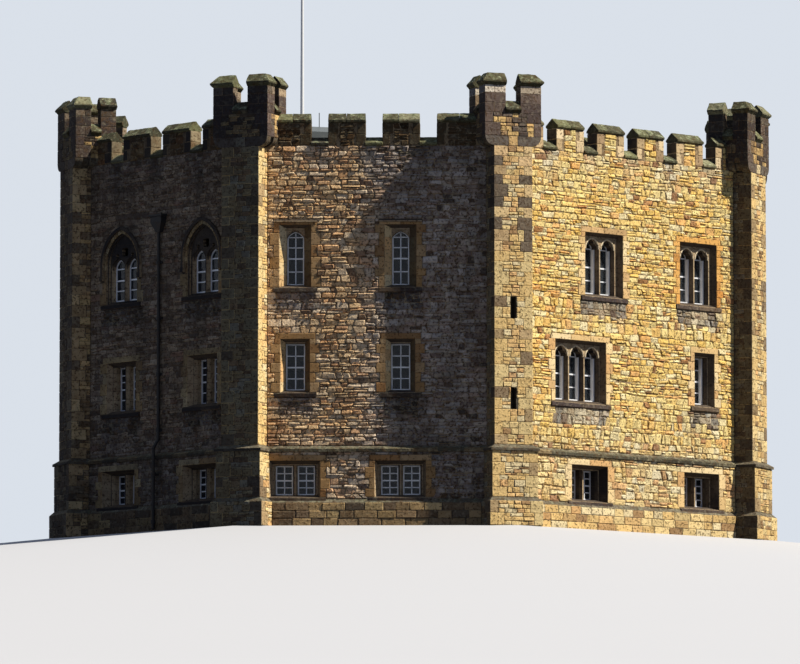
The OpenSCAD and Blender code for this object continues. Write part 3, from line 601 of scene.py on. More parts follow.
# The longest of these endings that a node's name has gives its material.
materialByNode = {
    "wall": "limeMortar", "buttress": "buttressCore", "parapet": "limeMortar", "merlons": "limeMortar",
    "copings": "copingStone", "plinth": "stringStone", "string_course": "stringStone", "floor": "floorTimber",
    "surrounds": "surroundStone", "surround": "surroundStone", "sashes": "windowPaint", "glass": "windowGlass",
    "back_door": "doorTimber", "flagpole": "polePaint", "rainwater_pipe": "pipeIron", "roof_hatch": "hatchPaint",
    "roof_deck": "roofLead",
}
for name, nodeObject in nodes.items():
    ending = max((key for key in materialByNode if name.endswith(key)), key=len)
    nodeObject.data.materials.clear()
    nodeObject.data.materials.append(materials[materialByNode[ending]])
print("materials set on", len(nodes), "nodes")


# Screen colours, red, green and blue up to 255, with the weight of each.
palettes = {
    # rubble and shadeRubble, and sunAshlar and ashlar, are lit and shaded copies of one stone: painted light and
    # shade.
    "rubble": [(255, 228, 152, 26), (252, 216, 132, 26), (248, 206, 114, 12), (255, 236, 180, 12),
               (238, 194, 114, 10), (206, 158, 94, 5), (150, 108, 68, 3), (242, 190, 118, 3)],
    "frontRubble": [(248, 212, 162, 22), (234, 194, 142, 22), (252, 222, 180, 13), (214, 170, 122, 14),
                    (174, 134, 98, 8), (232, 180, 126, 5), (224, 198, 162, 6), (124, 98, 74, 5)],
    "shadeRubble": [(196, 160, 108, 22), (176, 142, 96, 22), (212, 178, 124, 12), (150, 120, 86, 20),
                    (116, 94, 70, 12), (180, 128, 82, 6)],
    "ashlar": [(196, 162, 114, 20), (172, 142, 104, 20), (214, 178, 124, 14), (146, 122, 94, 15), (226, 192, 134, 8),
               (110, 96, 78, 8)],
    "sunAshlar": [(254, 222, 156, 20), (246, 206, 136, 20), (255, 232, 180, 12), (224, 184, 124, 12),
                  (172, 136, 94, 6), (232, 184, 124, 6)],
    "quoinDark": [(106, 93, 78, 12), (126, 110, 90, 9), (90, 80, 70, 5), (206, 174, 128, 22), (232, 200, 146, 24)],
    "sunQuoin": [(250, 220, 156, 22), (236, 200, 134, 18), (176, 150, 110, 7), (134, 114, 88, 4)],
    "head": [(78, 68, 62, 14), (100, 88, 78, 12), (200, 162, 106, 18), (226, 188, 124, 20), (150, 122, 88, 12)],
    "headDark": [(84, 72, 68, 20), (100, 86, 78, 16), (70, 62, 60, 12), (136, 116, 92, 6)],
    "headMid": [(146, 130, 110, 20), (120, 106, 90, 18), (168, 146, 118, 10), (96, 86, 76, 10)],
    "headTop": [(222, 206, 184, 20), (204, 188, 164, 18), (232, 218, 196, 12), (176, 160, 138, 8)],
    "corbel": [(116, 106, 96, 20), (98, 90, 82, 16), (134, 120, 104, 10)],
    "dressed": [(232, 202, 148, 22), (218, 184, 128, 20), (240, 214, 164, 14), (202, 166, 116, 14),
                (216, 172, 116, 6)],
    "quoin": [(226, 200, 156, 24), (208, 180, 136, 22), (236, 212, 170, 16), (180, 152, 116, 12)],
    "coping": [(84, 84, 62, 26), (70, 72, 56, 22), (110, 112, 80, 16), (56, 56, 50, 12), (140, 138, 108, 10)],
    "sill": [(66, 58, 58, 20), (84, 74, 68, 14), (112, 96, 80, 6)],
    "string": [(104, 98, 78, 24), (84, 82, 68, 22), (140, 122, 90, 10), (68, 68, 58, 12)],
}


def tones(n, palette, rng, shade=1.0, spread=0.10, soot=0.5):
    # Colours picked from a palette by weight, made linear, and lightened or darkened a little. The fourth
    # number is how much soot the stone has taken.
    table = np.array(palettes[palette], float)
    picked = (table[:, :3] / 255)[rng.choice(len(table), n, p=table[:, 3] / table[:, 3].sum())]
    linear = np.where(picked > 0.04045, ((picked + 0.055) / 1.055) ** 2.4, picked / 12.92)
    linear = linear * (1 + rng.normal(0, spread, (n, 1))).clip(0.6, 1.4) * np.reshape(shade, (-1, 1))
    # A colour too bright for stone is scaled down as a whole, so that its hue stays.
    linear = linear / np.maximum(1, linear.max(axis=1, keepdims=True) / 0.93)
    return np.column_stack([linear.clip(0.005, 1), np.broadcast_to(soot, (n,))])


def draw(palette, rng, shade=1.0, spread=0.12, soot=0.5):
    # The colour of one stone and the seed of its wear.
    return tones(1, palette, rng, shade, spread, soot)[0], int(rng.integers(1e6))


# Rubble walls.

wallLook = {
    "row": (0.11, 0.29), "length": (0.17, 0.50), "joint": 0.013, "split": 0.30, "wave": 0.030, "lean": 0.09,
    "clear": 0.008, "merlonRow": (0.15, 0.24), "merlonEnd": 0.36, "innerEnd": 0.94, "behindHead": 1.30,
    "slab": dict(jitter=0.014, bevel=0.034, proud=(0.006, 0.042), tilt=0.010, rough=0.011, edge=0.002, sunk=0.012,
                 ragged=0.013, round=0.7, rim=(0.62, 1.22)),
}
# The dressed band of a window runs past its recess by the side, the foot and the top.
dressedLook = {
    "joint": 0.009, "tail": 0.13, "block": 0.24, "label": 0.10, "side": 0.19, "foot": 0.17, "top": 0.19,
    "splits": (0.7, 1.1), "warm": (0.92, 0.68, 0.38), "front": (0.74, 0.62, 0.55), "plain": (1, 1, 1),
    "slab": dict(jitter=0.0015, bevel=0.010, proud=(0.020, 0.025), tilt=0.001, rough=0.0012, edge=0.013, sunk=0.012,
                 ragged=0.001, round=0.1, rim=(0.65, 0.95)),
}
ashlarLook = {
    "joint": 0.010, "row": (0.29, 0.45), "long": 0.50, "short": 0.29, "proud": 0.012, "cleanBelow": 9.3,
    "layer": (0.09, 0.22), "middle": (0.17, 0.40), "slitHalf": 0.108, "course": (0.4, 0.8),
    "courseGap": (0.006, 0.005), "least": 0.06, "uneven": (0.85, 1.1), "backGap": 0.02, "chamfer": 0.012,
    "rough": 0.002,
    "slab": dict(jitter=0.007, bevel=0.022, proud=(0.006, 0.024), tilt=0.005, rough=0.006, edge=0.002, sunk=0.012,
                 ragged=0.006, round=0.4, rim=(0.45, 0.95)),
}


def windowAreas(i):
    # The part of a wall that each window and its dressed stones take up.
    areas = []
    for u, kind in windowPlan[i % 4]:
        window = kinds[kind]
        foot, top = window["foot"], window["foot"] + window["high"]
        areas.append({"u": u, "kind": kind, "half": window["recess"] / 2 + dressedLook["side"], "jambs": [],
                      "foot": foot - dressedLook["foot"], "top": top + dressedLook["top"], "face": window["face"],
                      "recessFoot": foot, "recessTop": top, "form": window["form"]})
        if kind == "pointed":
            areas[-1].update(half=arch["outer"], recessTop=arch["spring"], top=arch["spring"] + arch["hoodRise"])
    if i == door["side"]:
        areas.append({"u": door["u"], "kind": "door", "half": door["half"], "form": "door", "face": -plan["plinthOut"],
                      "foot": 0.0, "top": door["top"], "recessFoot": 0.0, "recessTop": door["top"], "jambs": []})
    return areas


# How stones are laid: the shares of a spread that the mean course and the mean stone lie between, the least
# sizes of courses, jambs and stones, where a thick stone is split in two, how far a course has to reach over a
# window before it stops there, the least strip filled above or below one, and the two waves of a bed.
layLook = {"meanCourse": (1.15, 0.9), "meanStone": (1.3, 0.85), "leastCourse": 0.09, "jambEnd": 0.06,
           "leastJamb": 0.12, "shortest": 0.07, "thinnest": 0.03, "splitFrom": 0.15, "splitAt": (0.4, 0.6),
           "overlap": 0.02, "leastFill": 0.05, "longWave": 1.7, "shortWave": 4.1, "shortShare": 0.6}


def courseLevels(foot, top, fixed, row, rng):
    # The fixed levels stay; between two of them the height is shared by courses of uneven depth.
    marks, (low, high) = [foot], layLook["meanCourse"]
    for z in sorted(fixed):
        if min(z - marks[-1], top - z) > layLook["leastCourse"]:
            marks.append(z)
    marks.append(top)
    levels = [foot]
    for a, b in pairs(marks):
        n = max(1, round((b - a) / rng.uniform(row[0] * low, row[1] * high)))
        parts = rng.uniform(row[0], row[1], n)
        levels += list(a + np.cumsum(parts) * (b - a) / parts.sum())
        levels[-1] = b
    return levels, set(round(z, 4) for z in marks)


def setJambs(area, levels, rng):
    # Jamb stones take whole courses, and every other one tails further into the rubble.
    foot, top, end = area["recessFoot"], area["recessTop"], layLook["jambEnd"]
    marks = [foot]
    for z in [z for z in levels if foot + end < z < top - end] + [top]:
        if z - marks[-1] >= dressedLook["block"] or z == top:
            marks.append(z)
    if len(marks) > 2 and marks[-1] - marks[-2] < layLook["leastJamb"]:
        marks.pop(-2)
    first = rng.integers(0, 2)
    area["jambs"] = [(a, b, dressedLook["tail"] * ((k + first) % 2)) for k, (a, b) in enumerate(pairs(marks))]


def archHalf(radius, z):
    # Half width of a pointed arch at a height: a circle struck from beyond the middle line.
    return max(0.0, math.sqrt(max(0.0, radius ** 2 - (z - arch["spring"]) ** 2)) - arch["shift"])


def halfAt(area, z):
    # Half of what a window takes of a course: its hood, its label stops, or its jamb stones.
    if area["form"] == "pointed" and z > arch["spring"]:
        return archHalf(arch["hoodOuter"] + arch["shift"] + arch["gap"], z)
    if area["form"] == "pointed" and z > arch["stopFoot"]:
        return arch["stopHalf"] if z < arch["hoodFoot"] else arch["hoodOuter"] + arch["gap"]
    tail = [t for a, b, t in area["jambs"] if a <= z < b]
    return area["half"] + (tail[0] if tail else 0.0)


def shareLength(length, spread, rng):
    # Uneven parts of a length, as fractions from 0 to 1.
    low, high = layLook["meanStone"]
    n = max(1, round(length / rng.uniform(spread[0] * low, spread[1] * high)))
    parts = rng.uniform(spread[0], spread[1], n)
    return np.concatenate([[0.0], np.cumsum(parts) / parts.sum()])


def cellsIn(low, high, zLow, zHigh, look, rng, bend):
    # Stones between two ends, each end given at the course's foot and top; some cells hold two thin stones.
    length = (high[0] + high[1] - low[0] - low[1]) / 2
    if length < layLook["shortest"]:
        return []
    cuts = shareLength(length, look["length"], rng)
    inner = len(cuts) - 2
    lean = np.zeros(len(cuts))
    if inner > 0:
        lean[1:-1] = rng.uniform(-1, 1, inner) * look["lean"] * 0.5
    foot = low[0] + (high[0] - low[0]) * cuts - lean
    head = low[1] + (high[1] - low[1]) * cuts + lean
    quads, g = [], look["joint"] / 2
    for k in range(len(cuts) - 1):
        a, b, c, d = foot[k] + g, foot[k + 1] - g, head[k + 1] - g, head[k] + g
        za, zb = (zLow + bend(u, 0) + g for u in (a, b))
        zc, zd = (zHigh + bend(u, 1) - g for u in (c, d))
        if min(zd - za, zc - zb) < layLook["thinnest"]:
            continue
        if rng.random() < look["split"] and zHigh - zLow > layLook["splitFrom"]:
            f = rng.uniform(*layLook["splitAt"])
            ma, mb = za + (zd - za) * f, zb + (zc - zb) * f
            ua, ub = a + (d - a) * f, b + (c - b) * f
            quads.append([(a, za), (b, zb), (ub, mb - g), (ua, ma - g)])
            quads.append([(ua, ma + g), (ub, mb + g), (c, zc), (d, zd)])
        else:
            quads.append([(a, za), (b, zb), (c, zc), (d, zd)])
    return quads


def layCourses(levels, fixed, ends, areas, look, rng):
    # Every course runs between its two ends and stops at each window; its bed waves gently
    # except where it lines up with a window's head or foot.
    phase = rng.uniform(0, 7, len(levels))
    quads = []
    for k, (zLow, zHigh) in enumerate(pairs(levels)):
        swing = [0.0 if round(z, 4) in fixed else look["wave"] for z in (zLow, zHigh)]

        def bend(u, which):
            turn, share = phase[k + which], layLook["shortShare"]
            waves = math.sin(layLook["longWave"] * u + turn) + share * math.sin(layLook["shortWave"] * u + 2 * turn)
            return swing[which] * waves / (1 + share)

        start, stop = ends((zLow + zHigh) / 2)
        holes = []
        for area in areas:
            u, half = area["u"], area["half"]
            if min(zHigh, area["top"]) - max(zLow, area["foot"]) > layLook["overlap"]:
                lowHalf = halfAt(area, max(zLow, area["foot"]) + 0.001)
                highHalf = halfAt(area, min(zHigh, area["top"]) - 0.001)
                holes.append((u - lowHalf, u - highHalf, u + lowHalf, u + highHalf))
                if area["form"] != "pointed":
                    for a, b in ((zLow, area["foot"]), (area["top"], zHigh)):
                        if b - a > layLook["leastFill"] and a >= zLow - 1e-6 and b <= zHigh + 1e-6:
                            quads += cellsIn((u - half,) * 2, (u + half,) * 2, a, b, look, rng, lambda u, which: 0.0)
        left = (start, start)
        for a, b, c, d in sorted(holes) + [(stop, stop, stop, stop)]:
            quads += cellsIn(left, (a, b), zLow, zHigh, look, rng, bend)
            left = (c, d)
    return np.array(quads)


def gapMiddles(i):
    row, middle = crenels[i % 4], plan["lengths"][i] / 2
    return [middle + row["shift"] + (n - (row["count"] - 1) / 2) * row["pitch"] for n in range(row["count"])]


def merlonEnds(i):
    # Start and end of every merlon on a side, and whether each end is free: the outer two meet the heads.
    half, middles = crenels[i % 4]["gap"] / 2, gapMiddles(i)
    starts = [plan["flankHead"]] + [m + half for m in middles]
    stops = [m - half for m in middles] + [plan["lengths"][i] - plan["flankHead"]]
    return [(a, b, k > 0, k < len(middles)) for k, (a, b) in enumerate(zip(starts, stops))]


# How far a stain darkens and over what length or height it fades. The front's right half is painted darker:
# partly darker stones, partly painted shadow of the buttress beside it.
stainAndShadeLook = {"patch": 0.05, "gap": (0.34, 0.42), "gapFrom": (11.2, 1.5), "top": (0.15, 12.1, 0.8),
             "string": (0.18, 2.85, 0.35), "sill": (0.45, 0.26), "sillRun": (1.0, 0.6), "under": (0.5, 0.55),
             "front": (0.55, 3.6, 1.3), "low": 0.2}


def stainAndShadeAt(quads, areas, i):
    # Darker stones under the embrasures, below the window sills and near the string course, and slow waves of
    # lighter and darker walling elsewhere.
    look = stainAndShadeLook
    u, z = quads[:, :, 0].mean(1), quads[:, :, 1].mean(1)
    rising = lambda place, start, run: np.clip((place - start) / run, 0, 1)
    near = lambda distance, reach: np.exp(-(distance / reach) ** 2)
    patch = np.sin(u * 0.9 + i) * np.sin(z * 0.7 + 2 * i) + 0.6 * np.sin(u * 2.3 + 1.7 * i + z * 0.4)
    shade = 1 + look["patch"] * patch
    for middle in gapMiddles(i):
        shade *= 1 - look["gap"][0] * near(u - middle, look["gap"][1]) * rising(z, *look["gapFrom"])
    shade *= 1 - look["top"][0] * rising(z, *look["top"][1:])
    shade *= 1 - look["string"][0] * near(z - look["string"][1], look["string"][2])
    for area in areas:
        aside, below = np.abs(u - area["u"]), z < area["foot"]
        fading = rising(z, area["foot"] - look["sillRun"][0], look["sillRun"][1]) * below
        shade *= 1 - look["sill"][0] * fading * near(aside - area["half"] * 0.75, look["sill"][1])
        beside = (z > area["foot"] - look["under"][1]) * (aside < area["half"] * 0.9)
        shade *= 1 - look["under"][0] * below * beside
    # Painted shadow: the front's right half, next to the buttress, is painted darker.
    if i % 4 == 0:
        shade *= 1 - look["front"][0] * rising(u, *look["front"][1:])
    return shade * (1 - look["low"] * (z < plan["stringFoot"]))


# Each side: its palette, how light its rubble is, its soot, how light its dressed stones and merlons are, its
# deepest course, how much painted grey shade it has, and the spread of its dressed stones. The front's merlons are
# painted near black as painted shadow under their copings, and the front left, out of the sun, takes the shade
# palette and painted grey as painted shade.
sideLooks = [dict(zip(("palette", "shade", "soot", "dressed", "merlon", "row", "grey", "spread"), row)) for row in (
    ("frontRubble", 1.55, 0.25, 0.85, 0.12, 0.22, 0, 0.08), ("rubble", 1.5, 0.0, 1.15, 1.0, 0.28, 0, 0.08),
    ("rubble", 0.95, 0.35, 1.0, 0.8, 0.27, 0, 0.08), ("frontRubble", 1.0, 0.5, 0.95, 0.8, 0.24, 0, 0.08),
    ("frontRubble", 0.95, 0.6, 0.9, 0.7, 0.24, 0, 0.08), ("shadeRubble", 1.0, 0.7, 0.8, 0.7, 0.24, 0, 0.08),
    ("shadeRubble", 1.0, 0.8, 0.7, 0.7, 0.24, 0, 0.08), ("shadeRubble", 1.05, 0.7, 0.9, 0.4, 0.21, 0.4, 0.16))]


def archStones(area):
    # The stones of both sides of a pointed head, from the springing to the point.
    stones = []
    inner, outer = arch["recess"] + arch["shift"], arch["hoodInner"] + arch["shift"]
    for s in (-1, 1):
        for p, q in pairs(np.linspace(0, 1, 8)):
            p, q, spots = p + arch["gap"], q - arch["gap"], []
            for radius, share in ((inner, p), (outer, p), (outer, q), (inner, q)):
                angle = share * math.acos(arch["shift"] / radius)
                spots.append((area["u"] + s * (radius * math.cos(angle) - arch["shift"]),
                              arch["spring"] + radius * math.sin(angle)))
            stones.append(spots if s > 0 else [spots[1], spots[0], spots[3], spots[2]])
    return stones


def addDressings(heap, base, areas, style, i, rng):
    # Jamb stones up both sides, head stones across the top, and arch stones round the pointed heads.
    g = dressedLook["joint"] / 2
    quads, faces, tints = [], [], []
    for area in areas:
        if area["kind"] == "door":
            continue
        u, half, pointed = area["u"], area["half"], area["form"] == "pointed"
        recess = kinds[area["kind"]]["recess"] / 2
        mine = archStones(area) if pointed else []
        jambs = []
        for a, b, tail in area["jambs"]:
            for s in (-1, 1):
                outer = half + tail
                if pointed and b > arch["stopFoot"]:
                    outer = arch["hoodInner"] if a > arch["hoodFoot"] - 0.1 else arch["outer"] - 0.1
                jambs.append(rectangle(*sorted([u + s * recess, u + s * (outer - g)]), a + g, b - g))
        if not pointed:
            n = 1 + sum(half >= limit for limit in dressedLook["splits"])
            head = area["top"] - (dressedLook["label"] if area["form"] == "arched" else g)
            mine = [rectangle(u + a + g, u + b - g, area["recessTop"], head)
                    for a, b in pairs(np.linspace(-half, half, n + 1))]
        # One window on each long side has stones of a warmer bed, and the front's and back's are darker.
        warm = i % 4 == 1 and area["kind"] == "twin" and u > 8
        tint = dressedLook["warm" if warm else "front" if i % 4 == 0 else "plain"]
        quads += jambs + mine
        faces += [area["face"]] * len(jambs + mine)
        tints += [tint] * len(jambs + mine)
    colours = tones(len(quads), "dressed", rng, style["dressed"], style["spread"], style["soot"])
    colours[:, :3] *= tints
    addSlabs(heap, quads, base, np.array(faces), dressedLook["slab"], colours, rng)


headLook = {"mid": 0.33, "halfU": 1.0, "halfV": 0.72, "thick": 0.32, "gapU": 0.27, "gapV": 0.18, "backU": 0.68,
            "levels": (13.78, 14.10, 14.44, 14.70), "proud": 0.010, "shaft": 0.675, "joint": 0.004, "clear": 0.008,
            "chamfer": 0.012, "rough": 0.0025, "corbelProud": 0.015, "corbelSunk": 0.02, "betweenJoint": 0.005,
            "corbelFoot": 12.675, "corbelTop": 13.0, "corbelNear": 0.17}


def flankAt(z):
    # Where a wall meets the buttress at its end: the flank steps out twice lower down, and above it follows the
    # quarter round of the corbels.
    if z > headLook["corbelFoot"]:
        rise = headLook["corbelTop"] - headLook["corbelFoot"]
        curve = math.sqrt(max(0.0, rise ** 2 - max(0.0, headLook["corbelTop"] - z) ** 2))
        return plan["flankHead"] * (headLook["shaft"] + curve)
    return plan["flankUpper"] if z > 2.6 else plan["flankLower"] if z > plan["lowerFoot"] else plan["flankBase"]


def inset(length, margin):
    # The two ends of a course that stops short of both ends of its side.
    return margin, length - margin


dressings = Heap()
for i in range(8):
    rng = np.random.default_rng(100 + i)
    base, areas, length, style = sideFrame(i), windowAreas(i), plan["lengths"][i], sideLooks[i]
    look = dict(wallLook, row=(wallLook["row"][0], style["row"]))
    heap = Heap()
    fixed = [area[key] for area in areas for key in ("foot", "recessFoot", "recessTop", "top")
             if area["form"] != "door"]
    ends = lambda z: inset(length, flankAt(z) + look["clear"])
    for foot, top, face in ((plan["lowerFoot"], plan["stringFoot"] - 0.01, -plan["lowerOut"]),
                            (plan["stringTop"], plan["wallTop"], 0.0)):
        levels, marks = courseLevels(foot, top, [z for z in fixed if foot < z < top], look["row"], rng)
        mine = [area for area in areas if area["foot"] < top and area["top"] > foot]
        for area in mine:
            setJambs(area, levels, rng)
        quads = layCourses(levels, marks, ends, mine, look, rng)
        shade = stainAndShadeAt(quads, areas, i)
        soot = style["soot"] + np.clip(1 - shade, 0, 1)
        colours = tones(len(quads), style["palette"], rng, shade * style["shade"], 0.12, soot)
        # Darker stones, and all of the front left side, are painted greyer: partly soot, partly the painted blue-grey
        # of shade.
        grey = np.clip(style["grey"] + (1 - shade) * 0.9, 0, 0.7)[:, None]
        plain = colours[:, :3].mean(axis=1, keepdims=True) * [0.96, 0.96, 1.04]
        colours[:, :3] = colours[:, :3] * (1 - grey) + plain * grey
        addSlabs(heap, quads, base, face, look["slab"], colours, rng)
    addDressings(dressings, base, areas, style, i, rng)
    behind = faceOf(base, 2, length, plan["parapetT"])
    # The merlons' two faces, between the dressed stones at their ends.
    for start, stop, startFree, stopFree in merlonEnds(i):
        a = start + (look["merlonEnd"] if startFree else 0.0)
        b = stop - (look["merlonEnd"] if stopFree else 0.0)
        low = length - b if stopFree else max(length - b, look["behindHead"])
        high = length - a if startFree else min(length - a, length - look["behindHead"])
        for turned, left, right in ((base, a, b), (behind, low, high)):
            levels, marks = courseLevels(plan["wallTop"], plan["merlonTop"], [], look["merlonRow"], rng)
            quads = layCourses(levels, marks, lambda z: (left + 0.005, right - 0.005), [], look, rng)
            if len(quads):
                colours = tones(len(quads), style["palette"], rng, style["merlon"], 0.15, style["soot"])
                addSlabs(heap, quads, turned, 0.0, look["slab"], colours, rng)
    # The breast wall's inner face, over the roof, steps back behind the corbels.
    levels, marks = courseLevels(plan["deckTop"], plan["wallTop"], [], look["row"], rng)
    ends = lambda z: inset(length, look["innerEnd"] if z < 12.66 else look["behindHead"])
    quads = layCourses(levels, marks, ends, [], look, rng)
    addSlabs(heap, quads, behind, 0.0, look["slab"], tones(len(quads), "frontRubble", rng, 0.9, 0.15), rng)
    heap.finish(plan["names"][i] + "Rubble", "rubbleStone", "rubble_masonry")
    print(plan["names"][i], "rubble:", heap.total // 20, "stones")
dressings.finish("windowDressings", "dressedStone", "dressed_stone")


# Ashlar of the buttresses and heads.

def splitMiddle(a, b, zLow, zHigh, rng, gap):
    # Rough stones between two quoins, in thin uneven layers, left out in the middle where a slit is.
    quads, g = [], ashlarLook["joint"] / 2
    for low, high in ([(a, -gap), (gap, b)] if gap else [(a, b)]):
        if high - low < ashlarLook["least"]:
            continue
        for r, t in pairs(zLow + (zHigh - zLow) * shareLength(zHigh - zLow, ashlarLook["layer"], rng)):
            cuts = low + (high - low) * shareLength(high - low, ashlarLook["middle"], rng)
            quads += [rectangle(p + g, q - g, r + g, t - g) for p, q in pairs(cuts)]
    return quads


def ashlarBlock(heap, base, block, levels, rng, style):
    # A rectangular mass: corner stones that turn the corner, long and short in turn, and smaller
    # stones between them on the front, the flanks and, on a free-standing head, the back.
    half, front, back, free = block["half"], block["front"], block["back"], block["free"]
    p, g, depth = ashlarLook["proud"], ashlarLook["joint"] / 2, back - front
    for k, (zLow, zHigh) in enumerate(pairs(levels)):
        # The quoins are cleaner lower down, where the heads drip less on them.
        edges = "headDark" if free else style["quoins" if zHigh > ashlarLook["cleanBelow"] else "lowQuoins"]
        reach = {}
        for s, far in [(-1, 0), (1, 0)] + ([(-1, 1), (1, 1)] if free else []):
            lengths = ("long", "short") if (k + (s > 0) + far) % 2 == 0 else ("short", "long")
            across, along = (ashlarLook[name] * rng.uniform(*ashlarLook["uneven"]) for name in lengths)
            reach[(s, far)] = (across, along)
            edge = back + p if far else front - p
            deep = back - along if far else min(front + along, back - ashlarLook["backGap"])
            colour = tones(1, edges, rng, style["shade"], 0.12, style["soot"])
            addBoxes(heap, [s * (half + p), edge, zLow + g], [s * (half - across), deep, zHigh - g], base,
                     ashlarLook["chamfer"], ashlarLook["rough"], colour, rng, True)
        ends = (reach[(1, 1)][1], reach[(-1, 1)][1]) if free else (0.0, 0.0)
        faces = [(0, 0.0, front, -half + reach[(-1, 0)][0], half - reach[(1, 0)][0]),
                 (1, half, front, reach[(1, 0)][1], depth - ends[0]),
                 (3, -half, back, ends[1], depth - reach[(-1, 0)][1])]
        if free:
            faces.append((2, 0.0, back, -half + reach[(1, 1)][0], half - reach[(-1, 1)][0]))
        for quarter, u, v, a, b in faces:
            slit = quarter == 0 and any(low < (zLow + zHigh) / 2 < high for low, high in block["slits"])
            quads = splitMiddle(a, b, zLow, zHigh, rng, ashlarLook["slitHalf"] if slit else None)
            if quads:
                turned = faceOf(base, quarter, u, v)
                colours = tones(len(quads), "head" if free else style["palette"], rng, style["shade"], 0.16,
                                style["soot"])
                # Painted shade on the faces turned to the front left.
                colours[:, :3] *= paintedShadeOf(turned[1][1])
                addSlabs(heap, quads, turned, 0.0, ashlarLook["slab"], colours, rng)


slits = [(3.88, 4.61), (6.90, 7.63)]
buttressBlocks = [
    dict(foot=0.0, top=0.82, half=0.935, front=-0.65, back=0.127, free=False),
    dict(foot=0.95, top=2.5, half=0.805, front=-0.52, back=0.203, free=False),
    dict(foot=2.7, top=12.675, half=0.675, front=-0.39, back=0.279, free=False),
    dict(foot=13.0, top=13.78, half=1.0, front=-0.39, back=1.05, free=True),
]
shaftBlock = buttressBlocks[2]
# Each corner's lightness is partly painted light and shade: corner 1, in the sun, is lightest and alone has the sunlit
# head top, and corner 2 is darkened for its flank out of the sun.
farLook = dict(palette="ashlar", quoins="quoinDark", lowQuoins="quoinDark", top="headMid", shade=1.0, soot=0.55)
cornerLooks = [
    dict(farLook, palette="sunAshlar", quoins="sunQuoin", lowQuoins="sunQuoin", shade=1.15, soot=0.2),
    dict(farLook, palette="sunAshlar", lowQuoins="sunQuoin", top="headTop", shade=1.35, soot=0.1),
    dict(farLook, palette="sunAshlar", quoins="sunQuoin", lowQuoins="sunQuoin", shade=0.9, soot=0.4),
    dict(farLook, soot=0.5),
] + [farLook] * 4


def addHeadMerlons(heap, base, rng, style):
    # Three courses of blocks through the wall's thickness. The block at a front corner changes leg at each
    # course, the two merlons at the back are straight, and the top course takes the corner's top palette, pale only on
    # the corner in the sun: painted light. Faces turned to the front left take painted shade.
    h, g, p = headLook, headLook["joint"], headLook["proud"]
    outU, outV = h["halfU"] + p, h["halfV"] + p
    inU, inV = h["halfU"] - h["thick"] - p, h["halfV"] - h["thick"] - p
    gapU, gapV, mid = h["gapU"] - p, h["gapV"] - p, h["mid"]
    for su in (-1, 1):
        for k, (foot, top) in enumerate(pairs(h["levels"])):
            if (k + (su > 0)) % 2:
                spans = [((gapU, outU), (inV, outV)), ((inU, outU), (gapV, inV - h["clear"]))]
            else:
                spans = [((inU, outU), (gapV, outV)), ((gapU, inU - h["clear"]), (inV, outV))]
            blocks = [(a, b, mid - c, mid - d) for (a, b), (c, d) in spans]
            blocks.append((h["backU"] - p, outU, mid + gapV, mid + outV))
            for a, b, c, d in blocks:
                colour = tones(1, style["top"] if k == 2 else "headDark", rng, style["shade"], 0.10, style["soot"])
                addBoxes(heap, [su * a, c, foot + (g if k else 0)], [su * b, d, top - g], base, h["chamfer"],
                         h["rough"], colour, rng, True)


def addCorbels(heap, base, rng, style):
    # Two dark corbel stones on the front, each a quarter round under the head, with masonry between them.
    foot, top, near = headLook["corbelFoot"], headLook["corbelTop"], headLook["corbelNear"]
    turns, face = np.linspace(0, math.pi / 2, 7), shaftBlock["front"]
    g, gap = headLook["joint"], headLook["betweenJoint"]
    curve = np.column_stack([headLook["shaft"] + (top - foot) * np.sin(turns), top - (top - foot) * np.cos(turns)])
    outline = np.concatenate([[(near, foot + g)], curve + [0, g], [(near, top - g)]])
    for s in (-1, 1):
        sections = [np.column_stack([s * outline[:, 0], np.full(len(outline), v), outline[:, 1]])
                    for v in (face - headLook["corbelProud"], face + headLook["corbelSunk"])]
        addSweep(heap, sections, [1], base, 0.002, *draw("corbel", rng, style["shade"], 0.1, style["soot"]))
    quads = [rectangle(-near + gap, near - gap, foot + gap, top - gap)]
    colour = tones(1, style["palette"], rng, style["shade"], 0.1, 0.4)
    # Painted shade if the face turns to the front left.
    colour[:, :3] *= paintedShadeOf(base[1][1])
    addSlabs(heap, quads, base, face, ashlarLook["slab"], colour, rng)


for i in range(8):
    rng = np.random.default_rng(200 + i)
    heap, base, style = Heap(), cornerFrame(i), cornerLooks[i]
    for block in buttressBlocks:
        mine = slits if i % 4 == 1 and block is shaftBlock else []
        marks = [z for slit in mine for z in slit]
        levels = courseLevels(block["foot"], block["top"], marks, ashlarLook["row"], rng)[0]
        ashlarBlock(heap, base, dict(block, slits=mine), levels, rng, style)
    addCorbels(heap, base, rng, style)
    addHeadMerlons(heap, base, rng, style)
    heap.finish("buttressAshlar_%d" % i, "ashlarStone", "dressed_stone")
print("buttresses and heads laid")


# Dressed ends of the merlons.

quoinLook = {"reach": (0.34, 0.24), "end": 0.012, "proud": 0.016, "foot": 0.03, "joint": 0.004, "uneven": (0.9, 1.1),
             "chamfer": 0.014, "rough": 0.003}
quoinHeap = Heap()
rng = np.random.default_rng(300)
for i in range(8):
    base, style = sideFrame(i), sideLooks[i]
    levels = np.linspace(plan["wallTop"] + quoinLook["foot"], plan["merlonTop"], 3)
    for start, stop, startFree, stopFree in merlonEnds(i):
        for edge, s, free in ((start, 1, startFree), (stop, -1, stopFree)):
            for k in range(2 if free else 0):
                reach = quoinLook["reach"][(k + (s > 0)) % 2] * rng.uniform(*quoinLook["uneven"])
                low = [edge - s * quoinLook["end"], -quoinLook["proud"], levels[k] + quoinLook["joint"]]
                high = [edge + s * reach, plan["parapetT"] + quoinLook["proud"], levels[k + 1] - quoinLook["joint"]]
                colour = tones(1, "quoin", rng, style["merlon"], 0.08, style["soot"])
                addBoxes(quoinHeap, low, high, base, quoinLook["chamfer"], quoinLook["rough"], colour, rng)
